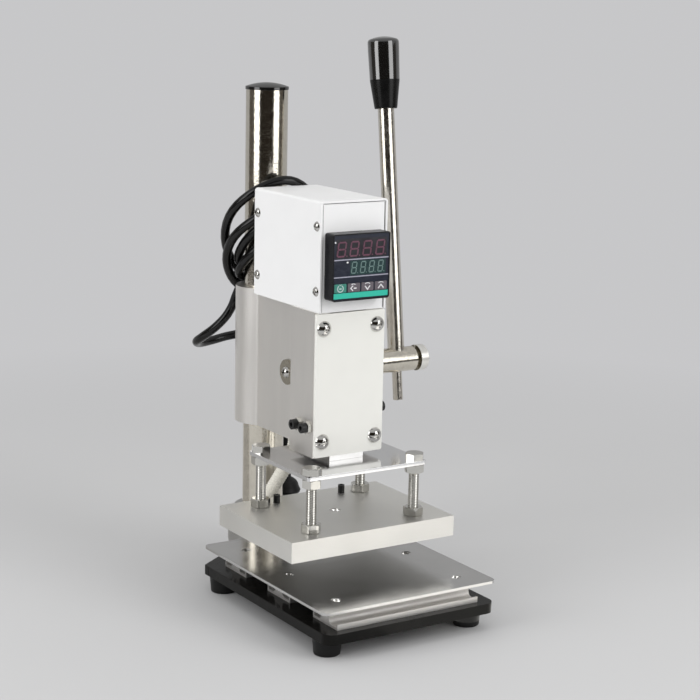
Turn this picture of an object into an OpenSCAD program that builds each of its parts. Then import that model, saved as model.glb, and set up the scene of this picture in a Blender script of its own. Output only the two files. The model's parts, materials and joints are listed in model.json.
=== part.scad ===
// Hand-lever hot foil stamping press with a heated plate, sizes in millimetres.
// X runs to the right of the operator, Y runs from the operator to the back, Z is up.

/* [Base and worktable] */
// Height of the feet under the base
foot_h = 12.8; // [9:0.2:25]
// Top diameter of a foot
foot_d = 24; // [16:1:32]
// Width of the base plate
base_w = 143; // [120:1:200]
// Depth of the straight part of the base plate
base_d = 176; // [160:1:196]
// Thickness of the base plate
base_t = 7.5; // [5:0.5:14]
// Height of a table rail
rail_h = 13.8; // [12:0.1:20]
// Length of a table rail
rail_l = 119; // [110:1:140]
// Distance from one rail to the next
rail_pitch = 63.5; // [48:0.5:66]
// Width of the worktable plate
table_w = 146; // [122:1:200]
// Depth of the worktable plate
table_d = 174; // [160:1:180]
// Thickness of the worktable plate
table_t = 2; // [1.9:0.1:6]

/* [Column] */
// Outer diameter of the column
column_d = 32; // [28:0.5:36]
// Wall of the column tube
column_wall = 3; // [2:0.5:6]
// Length of the column above the base
column_l = 354.2; // [320:1:480]
// Distance from the column axis to the pressing centre
reach = 109.5; // [106:0.5:140]

/* [Head] */
// Height of the head extrusion
head_h = 106.8; // [100:0.2:140]
// Wall of the clamp ring
ring_wall = 6.5; // [4:0.5:10]
// Width of the web between the ring and the ram housing
web_w = 30.6; // [26:0.2:40]
// Width of the ram housing
house_w = 58; // [52:1:76]
// Thickness of the front cover
cover_t = 2.5; // [1.5:0.1:4]
// Width of the controller box
box_w = 56; // [54:1:80]
// Height of the controller box
box_h = 79.6; // [70:0.2:110]
// Sheet thickness of the controller box
sheet_t = 1.5; // [1:0.1:1.8]

/* [Ram and heated plate] */
// Width of the ram
ram_w = 29; // [26:0.5:32]
// Gap between the heated plate and the worktable at rest
work_gap = 20.4; // [14:0.1:36]
// Width of the heated plate
plate_w = 139; // [112:1:180]
// Depth of the heated plate
plate_d = 105; // [92:1:112]
// Thickness of the heated plate
plate_t = 15.2; // [14:0.2:24]
// Width of the hanger plate
hanger_w = 101.4; // [92:0.2:110]
// Depth of the hanger plate
hanger_d = 85; // [78:1:90]
// Thickness of the hanger plate
hanger_t = 3; // [2.4:0.2:6]
// Clear height between the heated plate and the hanger plate
hanger_gap = 39.1; // [32:0.1:60]
// Diameter of a heating cartridge
heater_d = 10; // [8:0.5:11]

/* [Lever] */
// Diameter of the pinion shaft
shaft_d = 19; // [17:0.5:22]
// Reach of the shaft from the centre plane to its end disc
shaft_reach = 106; // [96:1:140]
// Length of the lever from the shaft axis to the top of the grip
lever_l = 247.8; // [190:1:320]
// Thick end of the lever rod
rod_d = 13; // [11:0.2:13.6]
// Backward lean of the lever at rest
lever_lean = 6.9; // [0:0.1:12]
// Largest diameter of the grip
grip_d = 24; // [20:0.5:30]

/* [Cord] */
// Diameter of the mains lead
cord_d = 7; // [6:0.1:7.1]

/* [Hidden] */
$fn = 64;
// Clearances: on the diameter of a fixed fit, of a running fit, and on a sliding face
fit = 0.04;
run_fit = 0.1;
slide_gap = 0.1;

// Heights from the floor
head_clear = 4.2;
ram_below_top = 7;
base_top = foot_h + base_t;
rail_top = base_top + rail_h;
table_top = rail_top + table_t;
plate_z = table_top + work_gap;
plate_mid = plate_z + plate_t / 2;
plate_top = plate_z + plate_t;
hanger_z = plate_top + hanger_gap;
hanger_top = hanger_z + hanger_t;
head_z = hanger_top + head_clear;
head_top = head_z + head_h;
column_top = base_top + column_l;
shaft_z = head_z + 51.2;

// Depths measured from the middle of the four feet
work_y = 10.5;
base_y = -6;
table_y = -5;
rail_y = -8;
column_y = work_y + reach;
base_front = base_y - base_d / 2;
base_corner = base_y + base_d / 2;
plate_back = work_y + plate_d / 2;
house_front = work_y - 12.2;
house_back = work_y + 20.5;

// Base, feet and column
foot_x = base_w / 2 - foot_d / 2;
foot_front = base_front + 19.5;
foot_back = base_corner - 7.5;
foot_neck = 3.4;
foot_screw = 5;
base_round = 8;
flange_d = column_d + 22;
flange_t = 8;
flange_h = 28;
boss_r = flange_d / 2 - 0.5;
flange_screw_r = column_d / 2 + 4.5;

// Rails
rail_half = 16;
rail_post = 10;
rail_foot = 1.8;
rail_lip = 1.5;
lip_h = 4.2;
cove_r = 3.6;
cell_w = 5;
cell_h = 5.6;
cell_roof = 2.4;
rail_screw_x = 35;
table_screw_x = rail_l / 2 - 8.5;
table_screw = 4;
table_head = 7.6;

// Ram, rack and pinion
ram_t = 26;
ram_front = house_front + slide_gap;
ram_back = ram_front + ram_t;
gib_t = 1.9;
slot_right = ram_w / 2 + slide_gap;
slot_left = slot_right + gib_t;
tooth_m = 2;
tooth_n = 22;
pitch_r = tooth_m * tooth_n / 2;
rack_pitch = tooth_m * PI;
press_a = 20;
addendum = 1.9;
dedendum = 2.5;
backlash = 0.14;
gear_w = 14;
rack_t = 8.1;
rack_root = ram_back + rack_t;
shaft_y = rack_root + dedendum + pitch_r;
rack_lo = -19;
rack_hi = head_top - ram_below_top - 3.6 - shaft_z;
rack_screw_z = [rack_lo + 9, rack_hi - 9];
rack_screw = 4;
ram_screw = 5;
ram_screw_x = 8;

// Head
ring_r = column_d / 2 + ring_wall;
pit_w = gear_w + 2;
pit_back = shaft_y + pitch_r + 4.5;
journal_d = shaft_d - 5;
bush_wall = 2;
cover_screw = 5;
cover_head = 12;
cover_screw_x = house_w / 2 - 6.5;
cover_screw_z = head_h / 2 - 11.9;
clamp_screw = 8;
clamp_z = [24, head_h - 24];
gib_screw_d = 4;
gib_nut_h = 3.2;
gib_y = [house_front + 5.7, house_front + 18.7];
gib_z = head_z + 22;
stop_z = head_z + 31;

// Plates
bolt_d = 8;
bolt_af = 13;
bolt_head_h = 5.3;
nut_h = 6.5;
bolt_x = hanger_w / 2 - 6.7;
bolt_y = hanger_d / 2 - 6.5;
bolt_deep = 10;
heater_x = 28.6;
heater_deep = 90;
heater_out = 3;
grub_d = 5;
grub_y = work_y + 38.5;
grub_up = 6.2;

// Lever
lever_x = shaft_reach - 24;
stub_d = 7.8;
stub_l = 31.3;
rod_end_d = rod_d - 0.5;
rod_from = 6;
rod_inset = 14;
grip_l = 54.6;
end_disc = 6.6;
neck_l = 3.2;
washer_t = 1.8;
end_play = 0.2;

// Controller box, closed off just in front of the wound lead
hank_in = column_d / 2 + cord_d / 2 + 0.9;
hank_out = hank_in + cord_d + 0.7;
box_front = house_front - 4.5;
box_back = column_y - hank_out - cord_d / 2 - 0.6;
box_d = box_back - box_front;
panel_in = 0.8;
panel_gap = 0.6;
panel_bend = 1.2;
cover_bend = sheet_t + 0.7;
flange_in = 9;
box_screw = 3;
box_head = 7.4;
box_screw_y = [box_front + 5.6, box_back - 4.8];
box_screw_z = [head_top + 15, head_top + box_h - 18];
ctl_z = head_top + 33.5;
ctl_w = 48;
ctl_out = 10.4;
ctl_hole = 45;
ctl_case = 44.6;
ctl_deep = 60;
bezel_round = 2;
clip_w = 12;
rim_w = 1;
recess = 1.6;
fascia_t = 1.2;
pocket = 0.8;
key_pitch = 11.4;
key_shift_x = -0.3;
key_drop = 14.6;
key_w = 10.2;
key_h = 6.2;
key_t = 0.55;
key_travel = 0.45;
key_gap = 0.15;
switch_y = box_back - 20;
switch_z = head_top + 44;
switch_l = 13.5;
switch_h = 19.5;
switch_rim = 0.9;
switch_deep = 14;
rocker_tilt = 7;

// The part is centred on its outer box in plan
mx = (max(table_w, base_w) / 2 - shaft_reach) / 2;
my = -(min(base_front, table_y - table_d / 2) + column_y + flange_d / 2) / 2;

// Preview colours
black = [0.06, 0.06, 0.065];
steel = [0.62, 0.62, 0.63];
nickel = [0.72, 0.70, 0.66];
alu = [0.80, 0.80, 0.79];
white = [0.93, 0.93, 0.92];
bronze = [0.72, 0.55, 0.25];
key_grey = [0.33, 0.31, 0.30];

// Shared shapes
module at_machine() translate([mx, my, 0]) children();

module rrect(w, d, r) {
  square([w - 2 * r, d], center = true);
  square([w, d - 2 * r], center = true);
  for (x = [-1, 1], y = [-1, 1])
    translate([x * (w / 2 - r), y * (d / 2 - r)]) circle(r);
}

module hexagon(af, h) cylinder(d = af / cos(30), h = h, $fn = 6);

module along_x(x, y, z) translate([x, y, z]) rotate([0, 90, 0]) children();
module along_y(x, y, z) translate([x, y, z]) rotate([-90, 0, 0]) children();

module cross_slot(l, w, h) {
  translate([-l / 2, -w / 2, 0]) cube([l, w, h]);
  translate([-w / 2, -l / 2, 0]) cube([w, l, h]);
}

// Domed screw head standing on z = 0, with its shank below
module dome_screw(d, h, shank_d, shank_l) {
  r = (d * d / 4 + h * h) / (2 * h);
  difference() {
    rotate_extrude() intersection() {
      translate([0, h - r]) circle(r);
      square([d / 2, h]);
    }
    translate([0, 0, h * 0.4]) cross_slot(d * 0.52, d * 0.13, h);
  }
  translate([0, 0, -shank_l]) cylinder(d = shank_d, h = shank_l);
}

// Countersunk screw, flush at z = 0, and the hole that it fills
module sunk_screw(d, shank_d, l) difference() {
  cone = (d - shank_d) / 2;
  union() {
    translate([0, 0, -cone]) cylinder(d1 = shank_d, d2 = d, h = cone);
    translate([0, 0, -l]) cylinder(d = shank_d, h = l);
  }
  translate([0, 0, -1.4]) cross_slot(d * 0.55, d * 0.14, 3);
}

module sunk_hole(d, shank_d, l) {
  cone = (d - shank_d) / 2;
  translate([0, 0, -cone]) cylinder(d1 = shank_d + fit, d2 = d + fit, h = cone);
  translate([0, 0, -l]) cylinder(d = shank_d + fit, h = l);
  cylinder(d = d + fit, h = 1);
}

module socket_screw(d, l, key) difference() {
  cylinder(d = d, h = l);
  translate([0, 0, l - d * 0.5]) hexagon(key, d);
}

// Base, feet and column
module base_outline() {
  shoulder = column_y - boss_r * 0.26;
  translate([0, base_y]) difference() {
    rrect(base_w, base_d, base_round);
    for (x = [-1, 1]) translate([x * base_w / 2, base_d / 2]) square(9, center = true);
  }
  polygon([[-base_w / 2, base_corner - 6], [base_w / 2, base_corner - 6], [base_w / 2, base_corner],
    [boss_r * 0.97, shoulder], [-boss_r * 0.97, shoulder], [-base_w / 2, base_corner]]);
  translate([0, column_y]) circle(boss_r);
}

module foot_spots() for (x = [-foot_x, foot_x], y = [foot_front, foot_back])
  translate([x, y, 0]) children();
module rail_spots() for (k = [-1, 0, 1]) translate([0, rail_y + k * rail_pitch, 0]) children();
module rail_screw_spots() rail_spots() for (x = [-rail_screw_x, rail_screw_x])
  translate([x, 0, 0]) children();
module table_screw_spots() rail_spots() for (x = [-table_screw_x, table_screw_x])
  translate([x, 0, 0]) children();
module flange_screw_spots() translate([0, column_y, 0]) for (a = [30, 150, 270])
  rotate(a) translate([flange_screw_r, 0, 0]) children();

module base_plate() color(black) at_machine() difference() {
  translate([0, 0, foot_h]) linear_extrude(base_t) base_outline();
  foot_spots() translate([0, 0, foot_h - 1]) cylinder(d = foot_screw + fit, h = base_t - 0.5);
  rail_screw_spots() translate([0, 0, foot_h - 1]) cylinder(d = foot_screw + fit, h = base_t + 2);
  flange_screw_spots() translate([0, 0, foot_h]) mirror([0, 0, 1]) sunk_hole(10, foot_screw, base_t + 1);
}

// Foot with a slight taper that flares out to its full diameter under the base
module base_feet() color(black) at_machine() foot_spots() difference() {
  neck_r = foot_d / 2 - foot_neck / 2;
  rotate_extrude() polygon(concat([[0, 0], [neck_r - 1.4, 0], [neck_r - 0.8, 0.6]],
    [for (a = [0:15:75]) [neck_r + foot_neck / 2 * (1 - cos(a)), foot_h - foot_neck * (1 - sin(a))]],
    [[foot_d / 2, foot_h], [0, foot_h]]));
  translate([0, 0, -1]) cylinder(d = foot_d - 13, h = foot_h - 4);
  cylinder(d = foot_screw + fit, h = foot_h + 1);
}

module foot_screws() color(steel) at_machine() foot_spots() translate([0, 0, foot_h - 5])
  mirror([0, 0, 1]) dome_screw(foot_d - 15, 3, foot_screw, base_t + 3);

module column_flange() color(steel) at_machine() difference() {
  translate([0, column_y, base_top]) difference() {
    union() {
      cylinder(d = flange_d, h = flange_t);
      cylinder(d = column_d + 12, h = flange_h);
    }
    translate([0, 0, -1]) cylinder(d = column_d + fit, h = flange_h + 2);
  }
  flange_screw_spots() translate([0, 0, base_top - 1]) cylinder(d = foot_screw + fit, h = flange_t - 0.8);
  along_y(0, column_y, base_top + flange_h * 0.65) cylinder(d = 6 + fit, h = column_d);
}

module flange_screws() color(steel) at_machine() flange_screw_spots() translate([0, 0, foot_h])
  mirror([0, 0, 1]) sunk_screw(10, foot_screw, base_t + flange_t - 2);

module flange_grub_screw() color(black) at_machine()
  along_y(0, column_y + column_d / 2 + fit, base_top + flange_h * 0.65) socket_screw(6, 7, 3);

module column() color(nickel) at_machine() translate([0, column_y, base_top]) difference() {
  cylinder(d = column_d, h = column_l);
  translate([0, 0, -1]) cylinder(d = column_d - 2 * column_wall, h = column_l + 2);
}

module column_cap() color(black) at_machine() translate([0, column_y, column_top]) {
  crown_r = 46;
  translate([0, 0, -10]) cylinder(d = column_d - 2 * column_wall - run_fit, h = 10);
  cylinder(d = column_d + 1, h = 2.2);
  translate([0, 0, 2.2]) rotate_extrude() intersection() {
    translate([0, 3 - crown_r]) circle(crown_r, $fn = 128);
    square([column_d / 2, 4]);
  }
}

// Rails and worktable
// Rail section: a foot with two lips and a hollow post between them
module rail_profile() difference() {
  union() {
    translate([-rail_half, 0]) square([2 * rail_half, rail_foot]);
    for (s = [-1, 1]) translate([s * (rail_half - rail_lip / 2) - rail_lip / 2, 0]) square([rail_lip, lip_h]);
    difference() {
      translate([-rail_post / 2 - cove_r, 0]) square([rail_post + 2 * cove_r, rail_foot + cove_r]);
      for (s = [-1, 1]) translate([s * (rail_post / 2 + cove_r), rail_foot + cove_r]) circle(cove_r);
    }
    translate([-rail_post / 2, 0]) square([rail_post, rail_h]);
  }
  translate([-cell_w / 2, rail_h - cell_h - cell_roof]) square([cell_w, cell_h]);
}

module rail(k) at_machine() difference() {
  translate([-rail_l / 2, rail_y + k * rail_pitch, base_top])
    rotate([90, 0, 90]) linear_extrude(rail_l) rail_profile();
  table_screw_spots() translate([0, 0, rail_top - 9]) cylinder(d = table_screw + fit, h = 10);
  rail_screw_spots() translate([0, 0, base_top - 1]) cylinder(d = foot_screw + fit, h = 5.6);
}

module rail_front() color(alu) rail(-1);
module rail_middle() color(alu) rail(0);
module rail_rear() color(alu) rail(1);

module rail_screws() color(steel) at_machine() rail_screw_spots() translate([0, 0, foot_h])
  mirror([0, 0, 1]) dome_screw(9, 3, foot_screw, base_t + 4.4);

module worktable() color(alu) at_machine() difference() {
  translate([0, table_y, rail_top]) linear_extrude(table_t) rrect(table_w, table_d, 5);
  table_screw_spots() translate([0, 0, table_top]) sunk_hole(table_head, table_screw, table_t + 1);
}

module worktable_screws() color(steel) at_machine() table_screw_spots() translate([0, 0, table_top])
  sunk_screw(table_head, table_screw, table_t + 7);

// Head extrusion, its cover and its small fittings
// Hollow corner of radius f between the web and the clamp ring
module web_fillet(f) {
  mid = [web_w / 2 + f, column_y - sqrt(pow(ring_r + f, 2) - pow(web_w / 2 + f, 2))];
  touch = mid + ([0, column_y] - mid) * f / (ring_r + f);
  difference() {
    polygon([[web_w / 2 - 1, mid[1]], mid, touch, touch - [1, -1], [web_w / 2 - 1, touch[1] + 1]]);
    translate(mid) circle(f);
  }
}

module head_profile() difference() {
  union() {
    translate([0, column_y]) circle(ring_r);
    for (s = [0, 1]) mirror([s, 0]) web_fillet(5);
    translate([-web_w / 2, house_back - 1]) square([web_w, column_y - house_back]);
    translate([-house_w / 2, house_front]) square([house_w, house_back - house_front]);
  }
  translate([0, column_y]) circle(d = column_d + run_fit);
  translate([-slot_left, house_front - 1])
    square([slot_left + slot_right, ram_back + slide_gap - house_front + 1]);
  translate([-pit_w / 2, ram_back]) square([pit_w, pit_back - ram_back]);
}

module cover_screw_spots() for (x = [-1, 1], z = [-1, 1])
  translate([x * cover_screw_x, house_front, head_z + head_h / 2 + z * cover_screw_z])
    rotate([90, 0, 0]) children();

module head_body() color(alu) at_machine() difference() {
  translate([0, 0, head_z]) linear_extrude(head_h) head_profile();
  along_x(-web_w, shaft_y, shaft_z) cylinder(d = journal_d + 2 * bush_wall + fit, h = web_w);
  along_x(0, shaft_y, shaft_z) cylinder(d = shaft_d + 2 * bush_wall + fit, h = web_w);
  for (y = gib_y) along_x(-house_w, y, gib_z) cylinder(d = gib_screw_d + fit, h = house_w - slot_left + 1);
  along_x(slot_right - 1, gib_y[0], stop_z) cylinder(d = gib_screw_d + fit, h = house_w);
  cover_screw_spots() translate([0, 0, -10]) cylinder(d = cover_screw + fit, h = 11);
  for (z = clamp_z) along_y(0, column_y, head_z + z) cylinder(d = clamp_screw + fit, h = 2 * ring_r);
}

module clamp_screws() color(black) at_machine() for (z = clamp_z)
  along_y(0, column_y + column_d / 2 + run_fit / 2, head_z + z) socket_screw(clamp_screw, ring_wall + 2.5, 4);

module front_cover() color(white) at_machine() difference() {
  translate([0, house_front, head_z + head_h / 2 - 0.3]) rotate([90, 0, 0])
    linear_extrude(cover_t) rrect(house_w, head_h - 1.5, 1.5);
  cover_screw_spots() translate([0, 0, -1]) cylinder(d = cover_screw + fit, h = cover_t + 2);
}

module front_cover_screws() color(steel) at_machine() cover_screw_spots() translate([0, 0, cover_t])
  dome_screw(cover_head, cover_head * 0.33, cover_screw, cover_t + 8);

module gib_strip() color(bronze) at_machine()
  translate([-slot_left, ram_front + 3, head_z + 3]) cube([gib_t - 0.02, ram_t - 6, head_h - 6]);

module gib_screw(len) {
  difference() {
    cylinder(d = 7.4, h = 4);
    translate([0, 0, 1.6]) hexagon(3.4, 4);
  }
  translate([0, 0, -len]) cylinder(d = gib_screw_d, h = len);
}

module gib_screws() color(black) at_machine() {
  stand = house_w / 2 + gib_nut_h;
  stop = house_w / 2 + 1.6;
  for (y = gib_y) translate([-stand, y, gib_z]) rotate([0, -90, 0]) gib_screw(stand - slot_left);
  along_x(stop, gib_y[0], stop_z) gib_screw(stop - slot_right - 2);
}

module gib_nuts() color(steel) at_machine() for (y = gib_y)
  along_x(-house_w / 2 - gib_nut_h, y, gib_z) difference() {
    hexagon(8.6, gib_nut_h);
    translate([0, 0, -1]) cylinder(d = gib_screw_d + fit, h = gib_nut_h + 2);
  }

module bush(bore) difference() {
  cylinder(d = bore + 2 * bush_wall, h = (web_w - pit_w) / 2);
  translate([0, 0, -1]) cylinder(d = bore + run_fit, h = web_w);
}

module shaft_bushes() color(bronze) at_machine() {
  along_x(-web_w / 2, shaft_y, shaft_z) bush(journal_d);
  along_x(pit_w / 2, shaft_y, shaft_z) bush(shaft_d);
}

// Controller box
module box_screw_spots() for (s = [0, 1], y = box_screw_y, z = box_screw_z)
  mirror([s, 0, 0]) translate([-box_w / 2, y, z]) rotate([0, -90, 0]) children();

module box_chassis() color(white) at_machine() difference() {
  wide = box_w - 2 * sheet_t;
  deep = box_d - 2 * panel_in;
  translate([0, (box_front + box_back) / 2, head_top]) {
    linear_extrude(sheet_t) rrect(wide, deep, panel_bend);
    linear_extrude(box_h - sheet_t - panel_gap) difference() {
      rrect(wide, deep, panel_bend);
      square([wide - 2 * sheet_t, deep - 2 * sheet_t], center = true);
      square([box_w, deep - 2 * flange_in], center = true);
    }
  }
  translate([-ctl_hole / 2, box_front - 1, ctl_z - ctl_hole / 2]) cube([ctl_hole, 6, ctl_hole]);
  box_screw_spots() translate([0, 0, -8]) cylinder(d = box_screw + fit, h = 10);
  along_y(hank_in, box_back - 6, hank_z) cylinder(d = cord_d + 2 + fit, h = 10);
}

// Outline of a sheet bent over at its two top corners
module bent_top(w, h, r) {
  translate([-w / 2, 0]) square([w, h - r]);
  translate([r - w / 2, 0]) square([w - 2 * r, h]);
  for (s = [-1, 1]) translate([s * (w / 2 - r), h - r]) circle(r);
}

module box_cover() color(white) at_machine() difference() {
  translate([0, box_back, head_top]) rotate([90, 0, 0]) linear_extrude(box_d) difference() {
    bent_top(box_w, box_h, cover_bend);
    translate([0, -1]) bent_top(box_w - 2 * sheet_t, box_h - sheet_t + 1, cover_bend - sheet_t);
  }
  box_screw_spots() translate([0, 0, -8]) cylinder(d = box_screw + fit, h = 10);
  translate([box_w / 2 - 4, switch_y - switch_l / 2, switch_z - switch_h / 2]) cube([8, switch_l, switch_h]);
}

module box_screws() color(steel) at_machine() box_screw_spots()
  dome_screw(box_head, box_head * 0.28, box_screw, 2 * sheet_t);

// Panel controller with four keys, drawn as seen from the front
module on_panel(out) translate([0, box_front + panel_in - out, ctl_z]) rotate([90, 0, 0]) children();
rim_out = ctl_out + panel_in;
floor_out = rim_out - recess;
function key_x(k) = (k - 1.5) * key_pitch + key_shift_x;

module controller_case() color(black) at_machine()
  translate([-ctl_case / 2, box_front + panel_in, ctl_z - ctl_case / 2]) cube([ctl_case, ctl_deep, ctl_case]);

module controller_bezel() color(black) at_machine() on_panel(0) difference() {
  linear_extrude(rim_out) rrect(ctl_w, ctl_w, bezel_round);
  translate([-clip_w / 2, ctl_w / 2 - 0.9, 0.8]) cube([clip_w, 2, 1.8]);
  translate([0, 0, floor_out]) linear_extrude(2 * recess) square(ctl_w - 2 * rim_w, center = true);
}

module controller_fascia() color([0.03, 0.04, 0.09]) at_machine() on_panel(floor_out) difference() {
  linear_extrude(fascia_t) square(ctl_w - 2 * rim_w - fit, center = true);
  for (k = [0:3]) translate([key_x(k), -key_drop, fascia_t - pocket])
    linear_extrude(2 * pocket) square([key_w + 2 * key_gap, key_h + 2 * key_gap], center = true);
}

module key(k) at_machine() on_panel(floor_out + fascia_t - pocket + key_travel)
  translate([key_x(k), -key_drop, 0]) linear_extrude(key_t) rrect(key_w, key_h, 0.6);

module key_set() color([0.1, 0.5, 0.45]) key(0);
module key_shift() color(key_grey) key(1);
module key_down() color(key_grey) key(2);
module key_up() color(key_grey) key(3);

// Power switch in the right side of the box
module on_side(out) translate([box_w / 2 + out, switch_y, switch_z]) rotate([90, 0, 90]) children();

module switch_frame() color(black) at_machine() difference() {
  union() {
    on_side(0) linear_extrude(1.8) rrect(switch_l + 2 * switch_rim, switch_h + 2 * switch_rim, 0.8);
    on_side(-switch_deep) linear_extrude(switch_deep) square([switch_l - fit, switch_h - fit], center = true);
  }
  on_side(-8) linear_extrude(12) square([switch_l - 2.5, switch_h - 2.5], center = true);
}

module switch_rocker() color(black) at_machine() on_side(-2) rotate([rocker_tilt, 0, 0]) difference() {
  rotate([0, 90, 0]) linear_extrude(switch_l - 3, center = true) intersection() {
    circle(9.2);
    translate([-7.6, -switch_h / 2 + 2]) square([8, switch_h - 4]);
  }
  along_x(-switch_l, 0, 22) cylinder(r = 17, h = 2 * switch_l);
}

// Pinion shaft, gear and lever
module lever_frame() translate([lever_x, shaft_y, shaft_z]) rotate([-lever_lean, 0, 0]) children();
function rod_size(z) = rod_d + (rod_end_d - rod_d) * (z - rod_from) / (lever_l - rod_inset - rod_from);

module pinion_shaft() color(nickel) at_machine() difference() {
  along_x(0, shaft_y, shaft_z) {
    shoulder = gear_w / 2 + 0.4;
    disc_at = shaft_reach - end_disc;
    translate([0, 0, -web_w / 2 - end_play]) cylinder(d = journal_d, h = web_w / 2 + end_play - shoulder);
    translate([0, 0, -shoulder]) cylinder(d = shaft_d, h = disc_at - neck_l + shoulder);
    cylinder(d = shaft_d - 6, h = disc_at + 1);
    translate([0, 0, disc_at]) cylinder(d = shaft_d + 1.2, h = end_disc);
  }
  along_x(-web_w / 2 - 1, shaft_y, shaft_z) cylinder(d = 5 + fit, h = 15);
  lever_frame() translate([0, 0, -shaft_d]) cylinder(d = stub_d + fit, h = 2 * shaft_d);
  lever_frame() translate([0, 0, rod_from]) cylinder(d = rod_d + fit, h = shaft_d);
}

// Involute flanks, as half angles of a tooth at radius r
function involute(a) = tan(a) * 180 / PI - a;
function half_tooth(r) = let(base_r = pitch_r * cos(press_a), q = max(r, base_r))
  90 / tooth_n + involute(press_a) - involute(acos(base_r / q)) - backlash / pitch_r * 180 / PI;
flank = [for (h = [-dedendum, -1.3, -0.5, 0.4, 1.2, addendum]) pitch_r + h];

module gear_outline() polygon([for (k = [0:tooth_n - 1]) let(mid = 360 * k / tooth_n)
  each concat(
    [for (r = flank) let(a = mid - half_tooth(r)) [r * cos(a), r * sin(a)]],
    [for (i = [len(flank) - 1:-1:0]) let(r = flank[i], a = mid + half_tooth(r)) [r * cos(a), r * sin(a)]])]);

module pinion_gear() color(steel) at_machine() translate([-gear_w / 2, shaft_y, shaft_z])
  rotate([90, 0, 90]) difference() {
    linear_extrude(gear_w) rotate(180) gear_outline();
    translate([0, 0, -1]) cylinder(d = shaft_d + fit, h = gear_w + 2);
  }

module shaft_washer() color(steel) at_machine() along_x(-web_w / 2 - end_play - washer_t, shaft_y, shaft_z)
  difference() {
    cylinder(d = 19, h = washer_t);
    translate([0, 0, -1]) cylinder(d = 5 + fit, h = washer_t + 2);
  }

module shaft_screw() color(steel) at_machine()
  translate([-web_w / 2 - end_play - washer_t, shaft_y, shaft_z]) rotate([0, -90, 0]) dome_screw(9, 3, 5, 11);

module lever_rod() color(nickel) at_machine() lever_frame() {
  translate([0, 0, -stub_l]) cylinder(d = stub_d, h = stub_l + rod_from);
  translate([0, 0, rod_from]) cylinder(d1 = rod_d, d2 = rod_end_d, h = lever_l - rod_inset - rod_from);
}

module lever_grip() color(black) at_machine() lever_frame() translate([0, 0, lever_l - grip_l]) difference() {
  r = grip_d / 2;
  edge = 3;
  shoulder = grip_l - 4.6;
  crown_r = 28;
  rotate_extrude() union() {
    polygon([[0, 0], [r * 0.70, 0], [r * 0.72, 1], [r * 0.736, 8], [r * 0.80, 15], [r * 0.92, 22],
      [r * 0.97, 28], [r, 44], [r, shoulder], [0, shoulder]]);
    intersection() {
      translate([r - edge, shoulder]) circle(edge);
      translate([0, shoulder - 0.1]) square([r, edge + 0.1]);
    }
    translate([0, shoulder - 0.1]) square([r - edge, edge + 0.1]);
    intersection() {
      translate([0, grip_l - crown_r]) circle(crown_r, $fn = 128);
      translate([0, shoulder + edge - 0.1]) square([r - edge + 0.6, edge]);
    }
  }
  translate([0, 0, -1])
    cylinder(d1 = rod_size(lever_l - grip_l - 1) + fit, d2 = rod_end_d + fit, h = grip_l - rod_inset + 1);
}

// Ram, rack, hanger plate and heated plate
module ram_screw_spots() for (x = [-ram_screw_x, ram_screw_x]) translate([x, work_y, 0]) children();
module bolt_spots() for (x = [-bolt_x, bolt_x], y = [-bolt_y, bolt_y])
  translate([x, work_y + y, 0]) children();

module ram_block() color(steel) at_machine() difference() {
  translate([-ram_w / 2, ram_front, hanger_top]) cube([ram_w, ram_t, head_top - ram_below_top - hanger_top]);
  ram_screw_spots() translate([0, 0, hanger_top - 1]) cylinder(d = ram_screw + fit, h = 14);
  for (z = rack_screw_z) along_y(0, ram_back - 10, shaft_z + z) cylinder(d = rack_screw + fit, h = 12);
}

function half_rack(h) = rack_pitch / 4 - backlash - h * tan(press_a);

module ram_rack() color(steel) at_machine() difference() {
  tip = dedendum + addendum;
  translate([-gear_w / 2, 0, shaft_z]) rotate([90, 0, 90]) linear_extrude(gear_w) {
    translate([ram_back, rack_lo]) square([rack_t, rack_hi - rack_lo]);
    for (k = [-3:floor(rack_hi / rack_pitch - 1)]) translate([rack_root, (k + 0.5) * rack_pitch])
      polygon([[-0.1, -half_rack(-dedendum)], [0, -half_rack(-dedendum)], [tip, -half_rack(addendum)],
        [tip, half_rack(addendum)], [0, half_rack(-dedendum)], [-0.1, half_rack(-dedendum)]]);
  }
  for (z = rack_screw_z) {
    along_y(0, ram_back - 1, shaft_z + z) cylinder(d = rack_screw + fit, h = 20);
    along_y(0, rack_root - 4, shaft_z + z) cylinder(d = 7.4, h = 20);
  }
}

module rack_screws() color(black) at_machine() for (z = rack_screw_z) {
  along_y(0, ram_back - 8, shaft_z + z) cylinder(d = rack_screw, h = rack_t + 4);
  along_y(0, rack_root - 4, shaft_z + z) socket_screw(7, 3.8, 3);
}

module ram_screws() color(steel) at_machine() ram_screw_spots() translate([0, 0, hanger_z])
  mirror([0, 0, 1]) sunk_screw(9, ram_screw, hanger_t + 10);

module hanger_plate() color(alu) at_machine() difference() {
  translate([0, work_y, hanger_z]) linear_extrude(hanger_t) rrect(hanger_w, hanger_d, 2);
  bolt_spots() translate([0, 0, hanger_z - 1]) cylinder(d = bolt_d + fit, h = hanger_t + 2);
  ram_screw_spots() translate([0, 0, hanger_z]) mirror([0, 0, 1]) sunk_hole(9, ram_screw, hanger_t + 1);
}

module hanger_bolts() color(steel) at_machine() bolt_spots() {
  translate([0, 0, hanger_top]) intersection() {
    hexagon(bolt_af, bolt_head_h);
    cylinder(d1 = bolt_af + 12, d2 = bolt_af - 0.6, h = bolt_head_h);
  }
  translate([0, 0, plate_top - bolt_deep]) cylinder(d = bolt_d, h = hanger_top - plate_top + bolt_deep);
}

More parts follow.
